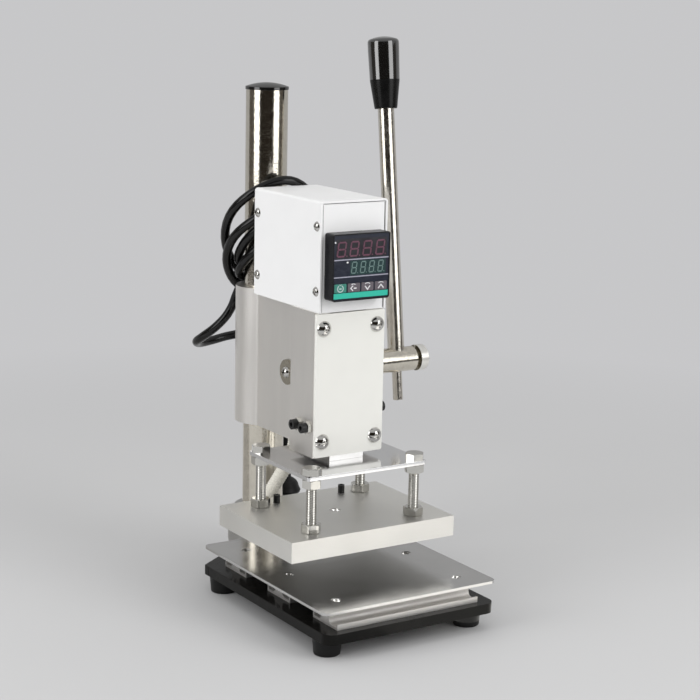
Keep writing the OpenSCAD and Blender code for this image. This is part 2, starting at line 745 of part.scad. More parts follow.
module hanger_nuts() color(steel) at_machine() bolt_spots() for (z = [hanger_z - nut_h, plate_top])
  translate([0, 0, z]) difference() {
    intersection() {
      hexagon(bolt_af, nut_h);
      cylinder(d1 = bolt_af - 0.6, d2 = bolt_af + 14, h = nut_h);
      cylinder(d1 = bolt_af + 14, d2 = bolt_af - 0.6, h = nut_h);
    }
    translate([0, 0, -1]) cylinder(d = bolt_d + fit, h = nut_h + 2);
  }

module heater_plate() color(alu) at_machine() difference() {
  translate([-plate_w / 2, work_y - plate_d / 2, plate_z]) cube([plate_w, plate_d, plate_t]);
  bolt_spots() translate([0, 0, plate_top - bolt_deep]) cylinder(d = bolt_d + fit, h = bolt_deep + 1);
  for (x = [-heater_x, heater_x]) {
    along_y(x, plate_back - heater_deep, plate_mid) cylinder(d = heater_d + fit, h = heater_deep + 1);
    translate([x, grub_y, plate_mid]) cylinder(d = grub_d + fit, h = plate_t);
  }
  translate([0, work_y + 2, plate_top]) sunk_hole(9, 5, 9);
}

module heater_cartridges() color(steel) at_machine() for (x = [-heater_x, heater_x])
  along_y(x, plate_back - heater_deep + 2, plate_mid)
    cylinder(d = heater_d, h = heater_deep - 2 + heater_out);

module cartridge_screws() color(black) at_machine() for (x = [-heater_x, heater_x])
  translate([x, grub_y, plate_mid + heater_d / 2 + fit])
    socket_screw(grub_d, plate_t / 2 - heater_d / 2 + grub_up, 2.5);

module plate_screw() color(steel) at_machine() translate([0, work_y + 2, plate_top]) sunk_screw(9, 5, 8);

// Swept tubes
function unit(v) = v / norm(v);
function settle(v, along) = unit(v - (v * along) * along);
function ramp(a, b, t) = let(u = min(1, max(0, (t - a) / (b - a)))) u * u * (3 - 2 * u);
function spline(a, b, c, d, u) = 0.5 * (2 * b + (c - a) * u + (2 * a - 5 * b + 4 * c - d) * u * u
  + (3 * b - a - 3 * c + d) * u * u * u);
function through(p, n) = [for (i = [1:len(p) - 3], k = [0:n - 1])
  spline(p[i - 1], p[i], p[i + 1], p[i + 2], k / n), p[len(p) - 2]];

// A tube along the points p, square to first_dir and last_dir at its ends
module tube(p, d, sides, side_dir, first_dir, last_dir) {
  last = len(p) - 1;
  dirs = [for (i = [0:last]) i == 0 ? first_dir : i == last ? last_dir : unit(p[i + 1] - p[i - 1])];
  norms = [for (i = 0, v = settle(side_dir, dirs[0]); i <= last;
    i = i + 1, v = i > last ? v : settle(v, dirs[i])) v];
  pts = [for (i = [0:last]) let(b = cross(dirs[i], norms[i])) for (s = [0:sides - 1])
    p[i] + d / 2 * (cos(360 * s / sides) * norms[i] + sin(360 * s / sides) * b)];
  polyhedron(pts, concat(
    [[for (s = [sides - 1:-1:0]) s]],
    [[for (s = [0:sides - 1]) last * sides + s]],
    [for (i = [0:last - 1], s = [0:sides - 1]) let(a = i * sides, b = a + sides, n = (s + 1) % sides)
      each [[a + s, a + n, b + n], [a + s, b + n, b + s]]]), convexity = 10);
}

// Mains lead: gland, hank wound round the column, hanging tail and plug
hank_far = hank_out + 8.3;
hank_turns = 4.125;
loop_rings = 24;
hank_low = head_top + cord_d / 2 + 0.9;
hank_z = hank_low + 5;
gland_l = 22.2;
gland_end = box_back - panel_in + gland_l;

function hank_angle(t) = -90 - 360 * t;
function hank_swell(t) = (2 + 1.6 * ramp(2.6, 3.2, t)) * ramp(1.9, 2.3, t) * (1 - ramp(3.55, 3.75, t));
function hank_radius(t) = hank_in + (hank_out - hank_in) * ramp(1.35, 1.95, t)
  + (hank_far - hank_out) * ramp(3.7, 3.98, t) + hank_swell(t) * pow(max(0, sin(hank_angle(t))), 2);
function hank_foot(t) = hank_low + 9.5 * (ramp(0.3, 1.2, t) - ramp(1.6, 2.1, t))
  - 14 * ramp(1.85, 2.25, t) + 11.2 * ramp(2.25, 3.15, t);
function hank_rise(t) = 30 + 11 * ramp(0.75, 1.75, t) + 25 * ramp(1.8, 2.4, t) + 16 * ramp(2.75, 3.35, t);
function hank_power(t) = 1.4 - 0.4 * ramp(1.6, 2.2, t) - 0.2 * ramp(3.7, 4.1, t);
function hank_twist(t) = 18 * (ramp(1.8, 2.25, t) - ramp(2.45, 2.8, t)
  + ramp(2.85, 3.25, t) - ramp(3.45, 3.8, t));
function hank_height(t) = let(
  lean = hank_rise(t) * pow((1 + cos(hank_angle(t) - hank_twist(t))) / 2, hank_power(t)),
  w = ramp(0, 0.16, t)) hank_z * (1 - w) + (hank_foot(t) + lean) * w;
function hank_at(t) = [-hank_radius(t) * sin(hank_angle(t)),
  column_y - hank_radius(t) * cos(hank_angle(t)), hank_height(t)];

hank_rings = loop_rings * hank_turns;
hank_coil = [for (i = [0:hank_rings]) hank_at(i / loop_rings)];
hank_dir = unit(hank_at(hank_turns) - hank_at(hank_turns - 0.004));
hank_end = hank_at(hank_turns) + hank_dir * cord_d;
hank_path = concat([[hank_in, gland_end, hank_z], [hank_in, (column_y + gland_end) / 2, hank_z]],
  hank_coil, [hank_end]);
hank_gap = min([for (i = [0:hank_rings], j = [i + 8:1:hank_rings])
  norm(hank_coil[i] - hank_coil[j])]) - cord_d;
echo(hank_gap = hank_gap);

module cord_gland() color(black) at_machine() along_y(hank_in, box_back - panel_in, hank_z) {
  translate([0, 0, -sheet_t - 2]) cylinder(d = cord_d + 2, h = sheet_t + 2);
  cylinder(d = cord_d + 5, h = 2.2);
  cylinder(d1 = cord_d + 4, d2 = cord_d + 1.6, h = gland_l);
}

module cord_hank() color(black) at_machine()
  tube(hank_path, cord_d, 6, [1, 0, 0.2], [0, 1, 0], hank_dir);

// Route of the tail, from the column axis and the top of the head
tail_route = [[16, 36, 8.5], [8.5, 39.5, 2], [1.5, 40, -6], [-4, 38.5, -14.5], [-9, 36, -22.5],
  [-14.5, 37, -31], [-21, 42.5, -40], [-26, 52, -48], [-26, 63, -54], [-18, 73, -58], [-4, 78.5, -58],
  [11, 78, -55.5], [24, 72, -53.5], [33, 61, -55], [36, 47, -61], [35.5, 34, -74], [34, 25, -92]];
plug_x = 33;
plug_y = column_y + 21;
plug_z = base_top + 27;
plug_r = 12.8;
plug_h = 13.6;
plug_neck = 10;
relief_l = 34.9;
tail_z = plug_z + plug_h + relief_l;
tail_lead = 8;
tail_path = concat([hank_end - hank_dir * tail_lead, hank_end],
  [for (p = tail_route) p + [0, column_y, head_top]],
  [for (k = [1, 0, -1]) [plug_x, plug_y, tail_z + k * tail_lead]]);

module cord_tail() color(black) at_machine()
  tube(through(tail_path, 3), cord_d, 8, [0, 0.3, 1], hank_dir, [0, 0, -1]);

// Bell with a rounded foot and shoulder, then a tapered relief
module mains_plug() color(black) at_machine() translate([plug_x, plug_y, plug_z]) {
  bell = [[0.74, 0], [0.87, 0.05], [0.96, 0.13], [1, 0.24], [0.9, 0.44], [0.83, 0.66],
    [0.73, 0.8], [0.56, 0.92]];
  rotate_extrude() polygon(concat([[0, 0]],
    [for (p = bell) [plug_r * p[0], plug_h * p[1]]],
    [[plug_neck / 2, plug_h], [0, plug_h]]));
  translate([0, 0, plug_h]) cylinder(d1 = plug_neck, d2 = cord_d + 1.6, h = relief_l);
}

module plug_blades() color(bronze) at_machine() translate([plug_x, plug_y, plug_z]) {
  for (x = [-6.35, 6.35]) translate([x - 0.75, -5.2, -17]) cube([1.5, 6.4, 17]);
  translate([0, 6, -18]) cylinder(d = 4.7, h = 18);
}

// Heat resistant sleeve from the left cartridge up into the gear pit of the head
sleeve_d = 11;
sleeve_y = plate_back + heater_out;
sleeve_up = 8;
sleeve_path = [[-heater_x, sleeve_y - 10, plate_mid], [-heater_x, sleeve_y, plate_mid],
  [-heater_x + 3, sleeve_y + 7.5, plate_mid + 2], [-heater_x + 10, sleeve_y + 9.5, plate_mid + 8.5],
  [-12.8, sleeve_y + 8, head_z - 36], [-6.4, sleeve_y + 5.5, head_z - 24], [-2.2, sleeve_y + 3, head_z - 11],
  [-1.5, sleeve_y + 2, head_z + 3],
  [-1.5, sleeve_y + 2, head_z + sleeve_up], [-1.5, sleeve_y + 2, head_z + sleeve_up + 6]];

module heater_sleeve() color([0.9, 0.88, 0.82]) at_machine()
  tube(through(sleeve_path, 4), sleeve_d, 12, [1, 0, 0.1], [0, 1, 0], [0, 0, 1]);

base_plate();
base_feet();
foot_screws();
column_flange();
flange_screws();
column();
column_cap();
flange_grub_screw();
rail_front();
rail_middle();
rail_rear();
rail_screws();
worktable();
worktable_screws();
head_body();
clamp_screws();
front_cover();
front_cover_screws();
gib_strip();
gib_screws();
gib_nuts();
shaft_bushes();
box_chassis();
box_cover();
box_screws();
controller_case();
controller_bezel();
controller_fascia();
key_set();
key_shift();
key_down();
key_up();
switch_frame();
switch_rocker();
cord_gland();
cord_hank();
cord_tail();
mains_plug();
plug_blades();
pinion_shaft();
pinion_gear();
shaft_washer();
shaft_screw();
lever_rod();
lever_grip();
ram_block();
ram_rack();
rack_screws();
ram_screws();
hanger_plate();
hanger_bolts();
hanger_nuts();
heater_plate();
heater_cartridges();
cartridge_screws();
plate_screw();
heater_sleeve();
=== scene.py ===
# Looks of a hand-lever hot foil stamping press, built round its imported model, in metres.
import json
import math

import bmesh
import bpy
from mathutils import Matrix, Vector

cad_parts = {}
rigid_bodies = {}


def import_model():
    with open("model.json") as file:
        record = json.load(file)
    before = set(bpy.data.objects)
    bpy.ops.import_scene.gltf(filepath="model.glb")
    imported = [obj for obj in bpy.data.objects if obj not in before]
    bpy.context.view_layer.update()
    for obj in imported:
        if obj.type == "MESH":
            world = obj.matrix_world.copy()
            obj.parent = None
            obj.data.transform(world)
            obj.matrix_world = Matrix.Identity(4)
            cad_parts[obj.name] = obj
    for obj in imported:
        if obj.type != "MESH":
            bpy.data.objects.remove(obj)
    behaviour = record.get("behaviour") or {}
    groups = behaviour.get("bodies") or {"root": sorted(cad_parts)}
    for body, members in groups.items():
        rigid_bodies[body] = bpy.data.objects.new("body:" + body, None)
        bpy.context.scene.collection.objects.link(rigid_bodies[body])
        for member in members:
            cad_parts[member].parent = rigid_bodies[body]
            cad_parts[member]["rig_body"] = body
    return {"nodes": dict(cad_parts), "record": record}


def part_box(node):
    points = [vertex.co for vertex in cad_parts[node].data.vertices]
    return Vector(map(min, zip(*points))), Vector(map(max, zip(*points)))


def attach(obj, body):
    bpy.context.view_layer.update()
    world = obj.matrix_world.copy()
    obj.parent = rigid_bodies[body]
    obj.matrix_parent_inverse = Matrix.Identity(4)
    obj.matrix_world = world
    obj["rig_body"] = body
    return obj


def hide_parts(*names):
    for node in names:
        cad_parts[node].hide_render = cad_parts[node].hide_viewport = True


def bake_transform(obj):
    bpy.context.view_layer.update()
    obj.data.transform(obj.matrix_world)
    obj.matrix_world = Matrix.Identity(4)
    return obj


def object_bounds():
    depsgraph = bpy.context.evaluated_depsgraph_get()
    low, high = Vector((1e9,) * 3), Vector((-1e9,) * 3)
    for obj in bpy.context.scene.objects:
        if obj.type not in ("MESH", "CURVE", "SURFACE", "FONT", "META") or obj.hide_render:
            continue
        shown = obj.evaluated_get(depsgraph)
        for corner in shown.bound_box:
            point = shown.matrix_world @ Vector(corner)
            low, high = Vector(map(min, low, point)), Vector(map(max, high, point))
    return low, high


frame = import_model()
cad_low, cad_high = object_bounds()
nodes = frame["nodes"]
slots = {part["node"]: part["material_slot"] for part in frame["record"]["subparts"]}
scene = bpy.context.scene
scene.view_settings.view_transform = "Standard"

# Machine frame in millimetres: X from the centre plane, Y from the middle of the feet, Z from the floor
MM = 0.001
COLUMN_Y = 120.0
column_low, column_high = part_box("column")
column_axis = (column_low + column_high) / 2
ORIGIN = Vector((column_axis.x, column_axis.y - COLUMN_Y * MM, 0))
HEAD_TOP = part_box("head_body")[1].z / MM


def at(x, y, z):
    """A point of the machine frame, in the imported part's frame."""
    return ORIGIN + Vector((x, y, z)) * MM


# Camera at the photograph's viewing angle
CAMERA_PLACE = (-0.7026, -1.0943, 0.4560)
CAMERA_YAW, CAMERA_PITCH, CAMERA_ROLL = -32.81, -11.62, 1.23
CAMERA_LENS, CAMERA_SENSOR = 92.26, 36
CAMERA_SIGHT = 400


def make_camera():
    data = bpy.data.cameras.new("camera")
    data.lens = CAMERA_LENS
    data.sensor_width = CAMERA_SENSOR
    data.clip_end = CAMERA_SIGHT
    camera = bpy.data.objects.new("camera", data)
    scene.collection.objects.link(camera)
    camera.matrix_world = (
        Matrix.Translation(CAMERA_PLACE)
        @ Matrix.Rotation(math.radians(CAMERA_YAW), 4, "Z")
        @ Matrix.Rotation(math.radians(90 + CAMERA_PITCH), 4, "X")
        @ Matrix.Rotation(math.radians(CAMERA_ROLL), 4, "Z")
    )
    scene.camera = camera


make_camera()


# Procedural finishes: the span that noise mostly keeps to, and how far down the normal of an underside with
# painted shade points
NOISE_LOW, NOISE_HIGH = 0.3, 0.7
SHADED_UNDERSIDE = -0.7


def link(tree, source, target):
    tree.links.new(source, target)


def math_node(tree, operation, a, b):
    node = tree.nodes.new("ShaderNodeMath")
    node.operation = operation
    for socket, value in zip(node.inputs, (a, b)):
        if isinstance(value, (int, float)):
            socket.default_value = value
        else:
            link(tree, value, socket)
    return node.outputs[0]


def ranged(tree, value, low, high):
    """Noise spread from low to high."""
    node = tree.nodes.new("ShaderNodeMapRange")
    node.inputs["From Min"].default_value = NOISE_LOW
    node.inputs["From Max"].default_value = NOISE_HIGH
    node.inputs["To Min"].default_value = low
    node.inputs["To Max"].default_value = high
    link(tree, value, node.inputs["Value"])
    return node.outputs["Result"]


def noise(tree, coords, size, stretch, detail):
    """Noise with features of that size in millimetres, drawn out along each axis by stretch."""
    mapping = tree.nodes.new("ShaderNodeMapping")
    mapping.inputs["Scale"].default_value = [1 / (size * MM * s) for s in stretch]
    link(tree, coords, mapping.inputs["Vector"])
    node = tree.nodes.new("ShaderNodeTexNoise")
    node.inputs["Scale"].default_value = 1
    node.inputs["Detail"].default_value = detail
    link(tree, mapping.outputs["Vector"], node.inputs["Vector"])
    return node.outputs["Fac"]


def layer(size, tint=0.0, gloss=0.0, height=0.0, stretch=(1, 1, 1), detail=2.0):
    """One noise of a finish: what it does to colour, roughness and, in millimetres, height."""
    return dict(size=size, tint=tint, gloss=gloss, height=height, stretch=stretch, detail=detail)


def finish(name, colour, metallic, roughness, layers, painted_underside_level=1.0, **sockets):
    """A material whose colour, roughness and relief follow its noise layers, with painted shade dimming its
    undersides.
    """
    material = bpy.data.materials.new(name)
    material.use_nodes = True
    tree = material.node_tree
    shader = tree.nodes["Principled BSDF"]
    shader.inputs["Metallic"].default_value = metallic
    for socket, value in sockets.items():
        shader.inputs[socket.replace("_", " ")].default_value = value
    coords = tree.nodes.new("ShaderNodeTexCoord").outputs["Object"]
    tint, gloss, height = 1.0, roughness, 0.0
    # Painted shade: the colour is darkened where the surface faces down
    if painted_underside_level < 1:
        split = tree.nodes.new("ShaderNodeSeparateXYZ")
        link(tree, tree.nodes.new("ShaderNodeNewGeometry").outputs["Normal"], split.inputs[0])
        painted_shade_mask = math_node(tree, "LESS_THAN", split.outputs["Z"], SHADED_UNDERSIDE)
        tint = math_node(tree, "SUBTRACT", 1.0, math_node(tree, "MULTIPLY", painted_shade_mask, 1 - painted_underside_level))
    for item in layers:
        value = noise(tree, coords, item["size"], item["stretch"], item["detail"])
        if item["tint"]:
            tint = math_node(tree, "MULTIPLY", tint, ranged(tree, value, 1 - item["tint"], 1 + item["tint"]))
        if item["gloss"]:
            gloss = math_node(tree, "ADD", gloss, ranged(tree, value, -item["gloss"], item["gloss"]))
        if item["height"]:
            height = math_node(tree, "ADD", height, math_node(tree, "MULTIPLY", value, item["height"] * MM))
    scale = tree.nodes.new("ShaderNodeVectorMath")
    scale.operation = "SCALE"
    scale.inputs[0].default_value = colour
    link(tree, tint, scale.inputs["Scale"])
    link(tree, scale.outputs[0], shader.inputs["Base Color"])
    link(tree, gloss, shader.inputs["Roughness"])
    if not isinstance(height, float):
        bump = tree.nodes.new("ShaderNodeBump")
        bump.inputs["Distance"].default_value = 1
        link(tree, height, bump.inputs["Height"])
        link(tree, bump.outputs["Normal"], shader.inputs["Normal"])
    return material


ALONG_X, ALONG_Z = (40, 1, 1), (1, 1, 40)

black_paint = finish("black_paint", (0.007, 0.0067, 0.006), 0, 0.22, [
    layer(0.5, tint=0.10, gloss=0.05, height=0.004),
    layer(14, tint=0.15, gloss=0.05)], Specular_IOR_Level=0.12)
rubber = finish("rubber_black", (0.008, 0.008, 0.008), 0, 0.42, [
    layer(0.6, tint=0.10, gloss=0.05, height=0.006),
    layer(9, tint=0.15, gloss=0.05)], Specular_IOR_Level=0.25)
zinc = finish("zinc_steel", (0.66, 0.65, 0.615), 1, 0.13, [
    layer(0.7, tint=0.03, gloss=0.03, height=0.001),
    layer(5, tint=0.05, gloss=0.04)])
chrome = finish("polished_steel", (0.66, 0.65, 0.625), 1, 0.08, [
    layer(0.8, tint=0.02, gloss=0.02, height=0.001),
    layer(6, tint=0.03, gloss=0.02)])
nickel = finish("nickel", (0.72, 0.68, 0.595), 1, 0.14, [
    layer(1.4, tint=0.07, gloss=0.05, height=0.065, detail=3),
    layer(5, tint=0.06, gloss=0.03, height=0.04)])
rod_nickel = finish("rod_nickel", (0.80, 0.765, 0.695), 1, 0.20, [
    layer(1.3, tint=0.08, gloss=0.05, height=0.045, detail=3),
    layer(6, tint=0.07, gloss=0.04, height=0.02)])
disc_metal = finish("turned_disc", (0.96, 0.945, 0.90), 1, 0.34, [
    layer(0.5, tint=0.02, gloss=0.04, height=0.002),
    layer(4, tint=0.03, gloss=0.03)])
# Dark steel of the shaft washer, also used as painted shade in the shaft's neck
dark_steel = finish("oiled_steel_and_groove_shade", (0.38, 0.35, 0.285), 1, 0.24, [
    layer(0.6, tint=0.05, gloss=0.04, height=0.002),
    layer(5, tint=0.08, gloss=0.04)])
machined = finish("machined_steel", (0.50, 0.495, 0.48), 1, 0.36, [
    layer(0.5, tint=0.015, gloss=0.02, stretch=ALONG_Z),
    layer(10, tint=0.02, gloss=0.03)])
ram_metal = finish("ground_steel", (0.70, 0.695, 0.68), 1, 0.34, [
    layer(0.5, tint=0.015, gloss=0.02, stretch=ALONG_Z),
    layer(10, tint=0.02, gloss=0.03)])
black_oxide = finish("black_oxide", (0.012, 0.012, 0.012), 0, 0.34, [
    layer(0.5, tint=0.15, gloss=0.08, height=0.003)], Specular_IOR_Level=0.4)
gloss_black = finish("gloss_black", (0.005, 0.005, 0.005), 0, 0.11, [
    layer(1.5, gloss=0.03, height=0.001),
    layer(9, tint=0.20, gloss=0.03)], Specular_IOR_Level=0.9)
grip_black = finish("grip_black", (0.004, 0.004, 0.004), 0, 0.12, [
    layer(1.5, gloss=0.03, height=0.001),
    layer(9, tint=0.20, gloss=0.03)],
    Specular_IOR_Level=0.6, Coat_Weight=1.0, Coat_IOR=2.05, Coat_Roughness=0.07)
grip_dull = finish("grip_dull", (0.005, 0.005, 0.005), 0, 0.26, [
    layer(1.5, gloss=0.03, height=0.001),
    layer(9, tint=0.20, gloss=0.03)], Specular_IOR_Level=0.20)
head_metal = finish("aluminium_satin", (0.90, 0.878, 0.845), 1, 0.44, [
    layer(0.5, tint=0.012, gloss=0.03, height=0.0008, stretch=ALONG_Z),
    layer(12, tint=0.02, gloss=0.03, stretch=(1, 1, 4))])
# Painted shade darkens this plate's undersides
plate_metal = finish("aluminium_milled", (0.88, 0.87, 0.835), 1, 0.44, [
    layer(0.4, tint=0.012, gloss=0.03, height=0.0008, stretch=ALONG_X),
    layer(30, tint=0.015, gloss=0.03)], painted_underside_level=0.58)
rail_metal = finish("aluminium_drawn", (0.87, 0.852, 0.83), 1, 0.56, [
    layer(0.5, tint=0.02, gloss=0.03, height=0.0008, stretch=ALONG_X),
    layer(16, tint=0.02, gloss=0.03)])
table_metal = finish("aluminium_brushed", (0.62, 0.615, 0.605), 1, 0.20, [
    layer(0.35, tint=0.025, gloss=0.03, height=0.006, stretch=ALONG_X),
    layer(24, tint=0.03, gloss=0.03)])
hanger_metal = finish("aluminium_sheet", (0.86, 0.86, 0.87), 1, 0.15, [
    layer(0.35, tint=0.02, gloss=0.02, height=0.0005, stretch=ALONG_X),
    layer(18, tint=0.02, gloss=0.02)])
box_paint = finish("white_paint", (0.88, 0.88, 0.88), 0, 0.36, [
    layer(0.8, gloss=0.05, height=0.004),
    layer(22, tint=0.010, gloss=0.03)])
cover_paint = finish("warm_white_paint", (0.85, 0.845, 0.80), 0, 0.34, [
    layer(0.8, gloss=0.05, height=0.004),
    layer(22, tint=0.010, gloss=0.03)])
# Painted shade: the dark grey of the strips that stand for the shadow in the gaps at the box's front panel
seam_shade_grey = finish("seam_shade_grey", (0.09, 0.09, 0.09), 0, 0.60, [layer(0.6, tint=0.10, gloss=0.05)])
bronze = finish("bronze", (0.62, 0.43, 0.20), 1, 0.30, [
    layer(0.5, tint=0.08, gloss=0.06, height=0.003)])
black_plastic = finish("black_plastic", (0.007, 0.007, 0.009), 0, 0.32, [
    layer(0.35, tint=0.06, gloss=0.06, height=0.003),
    layer(8, tint=0.10, gloss=0.04)], Specular_IOR_Level=0.28)
film = finish("fascia_film", (0.019, 0.022, 0.036), 0, 0.22, [
    layer(3, tint=0.08, gloss=0.04, height=0.0005)])
window_dark = finish("window_dark", (0.026, 0.025, 0.030), 0, 0.20, [layer(4, tint=0.10, gloss=0.04)])
window_green = finish("window_green", (0.022, 0.047, 0.048), 0, 0.20, [layer(4, tint=0.10, gloss=0.04)])
teal = finish("key_teal", (0.035, 0.21, 0.165), 0, 0.40, [
    layer(0.4, tint=0.05, gloss=0.05, height=0.002)])
strip_teal = finish("strip_teal", (0.022, 0.49, 0.36), 0, 0.38, [
    layer(0.5, tint=0.04, gloss=0.05)])
key_grey = finish("key_grey", (0.115, 0.098, 0.115), 0, 0.42, [
    layer(0.4, tint=0.06, gloss=0.05, height=0.002)])
mark_white = finish("mark_white", (0.74, 0.74, 0.76), 0, 0.45, [layer(0.5, tint=0.06, gloss=0.04)])
mark_pale = finish("mark_pale", (0.44, 0.56, 0.55), 0, 0.45, [layer(0.5, tint=0.06, gloss=0.04)])
line_grey = finish("line_grey", (0.36, 0.36, 0.44), 0, 0.40, [layer(0.8, tint=0.08, gloss=0.04)])
digit_red = finish("digit_red", (0.125, 0.040, 0.070), 0, 0.35, [layer(1.4, tint=0.22, gloss=0.04)])
digit_green = finish("digit_green", (0.13, 0.21, 0.20), 0, 0.35, [layer(1.2, tint=0.18, gloss=0.04)])
cord_black = finish("cord_black", (0.003, 0.003, 0.003), 0, 0.18, [
    layer(0.7, gloss=0.04, height=0.003),
    layer(12, tint=0.15, gloss=0.04)], Specular_IOR_Level=0.42)
brass = finish("blade_brass", (0.80, 0.63, 0.33), 1, 0.22, [layer(0.5, tint=0.05, gloss=0.06, height=0.002)])
heater_steel = finish("heater_steel", (0.52, 0.50, 0.47), 1, 0.34, [
    layer(0.6, tint=0.08, gloss=0.08, height=0.004), layer(6, tint=0.10)])
sleeve_white = finish("sleeve_white", (0.80, 0.775, 0.70), 0, 0.75, [
    layer(0.5, tint=0.05, gloss=0.05, height=0.012),
    layer(6, tint=0.03)], Sheen_Weight=0.2)

NODE_FINISH = {
    "base_plate": black_paint, "base_feet": rubber, "foot_screws": zinc, "column_flange": machined,
    "flange_screws": zinc, "column": nickel, "column_cap": gloss_black, "flange_grub_screw": black_oxide,
    "rail_front": rail_metal, "rail_middle": rail_metal, "rail_rear": rail_metal, "rail_screws": zinc,
    "worktable": table_metal, "worktable_screws": zinc, "head_body": head_metal, "clamp_screws": black_oxide,
    "front_cover": cover_paint, "front_cover_screws": chrome, "gib_strip": bronze, "gib_screws": black_oxide,
    "gib_nuts": zinc, "shaft_bushes": bronze, "box_chassis": box_paint, "box_cover": box_paint,
    "box_screws": chrome, "controller_case": black_plastic, "controller_bezel": black_plastic,
    "controller_fascia": film, "key_set": teal, "key_shift": key_grey, "key_down": key_grey,
    "key_up": key_grey, "switch_frame": black_plastic, "switch_rocker": gloss_black, "cord_gland": rubber,
    "mains_plug": rubber, "plug_blades": brass, "pinion_shaft": nickel, "pinion_gear": machined,
    "shaft_washer": dark_steel, "shaft_screw": chrome, "lever_rod": rod_nickel, "lever_grip": grip_black,
    "ram_block": ram_metal, "ram_rack": machined, "rack_screws": black_oxide, "ram_screws": zinc,
    "hanger_plate": hanger_metal, "hanger_bolts": zinc, "hanger_nuts": zinc, "heater_plate": plate_metal,
    "heater_cartridges": heater_steel, "cartridge_screws": black_oxide, "plate_screw": zinc,
    "cord_hank": cord_black, "cord_tail": cord_black, "heater_sleeve": sleeve_white,
}
for node_name, material in NODE_FINISH.items():
    nodes[node_name].data.materials.clear()
    nodes[node_name].data.materials.append(material)


# Making pieces: points closer than this in metres are one, and the angles of flat faces and of edges
MERGE_WITHIN = 2e-6
FLAT_ANGLE, EDGE_ANGLE = 0.5, 30
EDGE_SEGMENTS = 2


def piece(name, verts, faces, material, slot):
    """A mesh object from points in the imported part's frame, with its finish. The slot is not used."""
    mesh = bpy.data.meshes.new(name)
    mesh.from_pydata([tuple(v) for v in verts], [], faces)
    bm = bmesh.new()
    bm.from_mesh(mesh)
    bmesh.ops.recalc_face_normals(bm, faces=bm.faces)
    bm.to_mesh(mesh)
    bm.free()
    mesh.materials.append(material)
    obj = bpy.data.objects.new(name, mesh)
    scene.collection.objects.link(obj)
    return obj


def smooth(obj, angle=32):
    """Smooth shading, broken at edges sharper than the angle."""
    mesh = obj.data
    mesh.shade_smooth()
    mesh.set_sharp_from_angle(angle=math.radians(angle))
    return obj


def dress(node, width):
    """Stands for a CAD node with its outer edges rounded by that width in millimetres."""
    bm = bmesh.new()
    bm.from_mesh(nodes[node].data)
    bmesh.ops.remove_doubles(bm, verts=bm.verts, dist=MERGE_WITHIN)
    bmesh.ops.dissolve_limit(bm, angle_limit=math.radians(FLAT_ANGLE), verts=bm.verts, edges=bm.edges)
    sharp = math.radians(EDGE_ANGLE)
    edges = [e for e in bm.edges if e.is_manifold and e.calc_face_angle_signed() > sharp]
    bmesh.ops.bevel(bm, geom=edges, offset=width * MM, segments=EDGE_SEGMENTS, affect="EDGES",
                    profile=0.5, clamp_overlap=True)
    mesh = bpy.data.meshes.new(node + "_edged")
    bm.to_mesh(mesh)
    bm.free()
    mesh.materials.append(NODE_FINISH[node])
    obj = bpy.data.objects.new(node + "_edged", mesh)
    scene.collection.objects.link(obj)
    smooth(obj)
    weigh = obj.modifiers.new("weigh", "WEIGHTED_NORMAL")
    weigh.keep_sharp = True
    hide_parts(node)
    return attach(obj, nodes[node]["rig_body"])


EDGE_WIDTH = {
    "base_plate": 1.0, "base_feet": 0.5, "worktable": 0.25,
    "rail_front": 0.2, "rail_middle": 0.2, "rail_rear": 0.2, "head_body": 0.5, "front_cover": 0.6,
    "box_cover": 0.25, "box_chassis": 0.25, "controller_bezel": 0.5, "key_set": 0.15, "key_shift": 0.15,
    "key_down": 0.15, "key_up": 0.15, "hanger_plate": 0.4, "heater_plate": 0.35, "ram_block": 0.3,
    "gib_nuts": 0.2, "gib_screws": 0.3, "shaft_washer": 0.3, "pinion_shaft": 0.5, "switch_frame": 0.4,
    "switch_rocker": 0.4, "column_flange": 0.4, "column_cap": 0.4, "lever_rod": 0.4,
}
edged = {node_name: dress(node_name, width) for node_name, width in EDGE_WIDTH.items()}


# How far back from the shaft's end its disc and its neck reach, and the radius that parts them
DISC_BACK, NECK_BACK, NECK_R = 6.7, 12, 7


def finish_shaft():
    """The shaft's end disc is turned bright, and the neck behind it gets painted shade, dark steel standing
    for the shadow in its groove.
    """
    low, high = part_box("pinion_shaft")
    axis = (low + high) / 2
    mesh = edged["pinion_shaft"].data
    mesh.materials.append(disc_metal)
    mesh.materials.append(dark_steel)
    for face in mesh.polygons:
        back = (high.x - face.center.x) / MM
        away = math.hypot(face.center.y - axis.y, face.center.z - axis.z) / MM
        if back < DISC_BACK and away > NECK_R:
            face.material_index = 1
        # Painted shade: the neck's faces take the dark steel as the shadow in its groove
        elif back < NECK_BACK and away < NECK_R:
            face.material_index = 2


finish_shaft()


def ramp(a, b, t):
    """Rises smoothly from 0 at a to 1 at b."""
    u = min(1, max(0, (t - a) / (b - a)))
    return u * u * (3 - 2 * u)


def through(points, steps):
    """A smooth curve through all but the first and last of the points."""
    curve = []
    for p0, p1, p2, p3 in zip(points, points[1:], points[2:], points[3:]):
        for k in range(steps):
            u = k / steps
            curve.append(0.5 * (2 * p1 + (p2 - p0) * u + (2 * p0 - 5 * p1 + 4 * p2 - p3) * u * u
                                + (3 * p1 - p0 - 3 * p2 + p3) * u ** 3))
    return curve + [points[-2]]


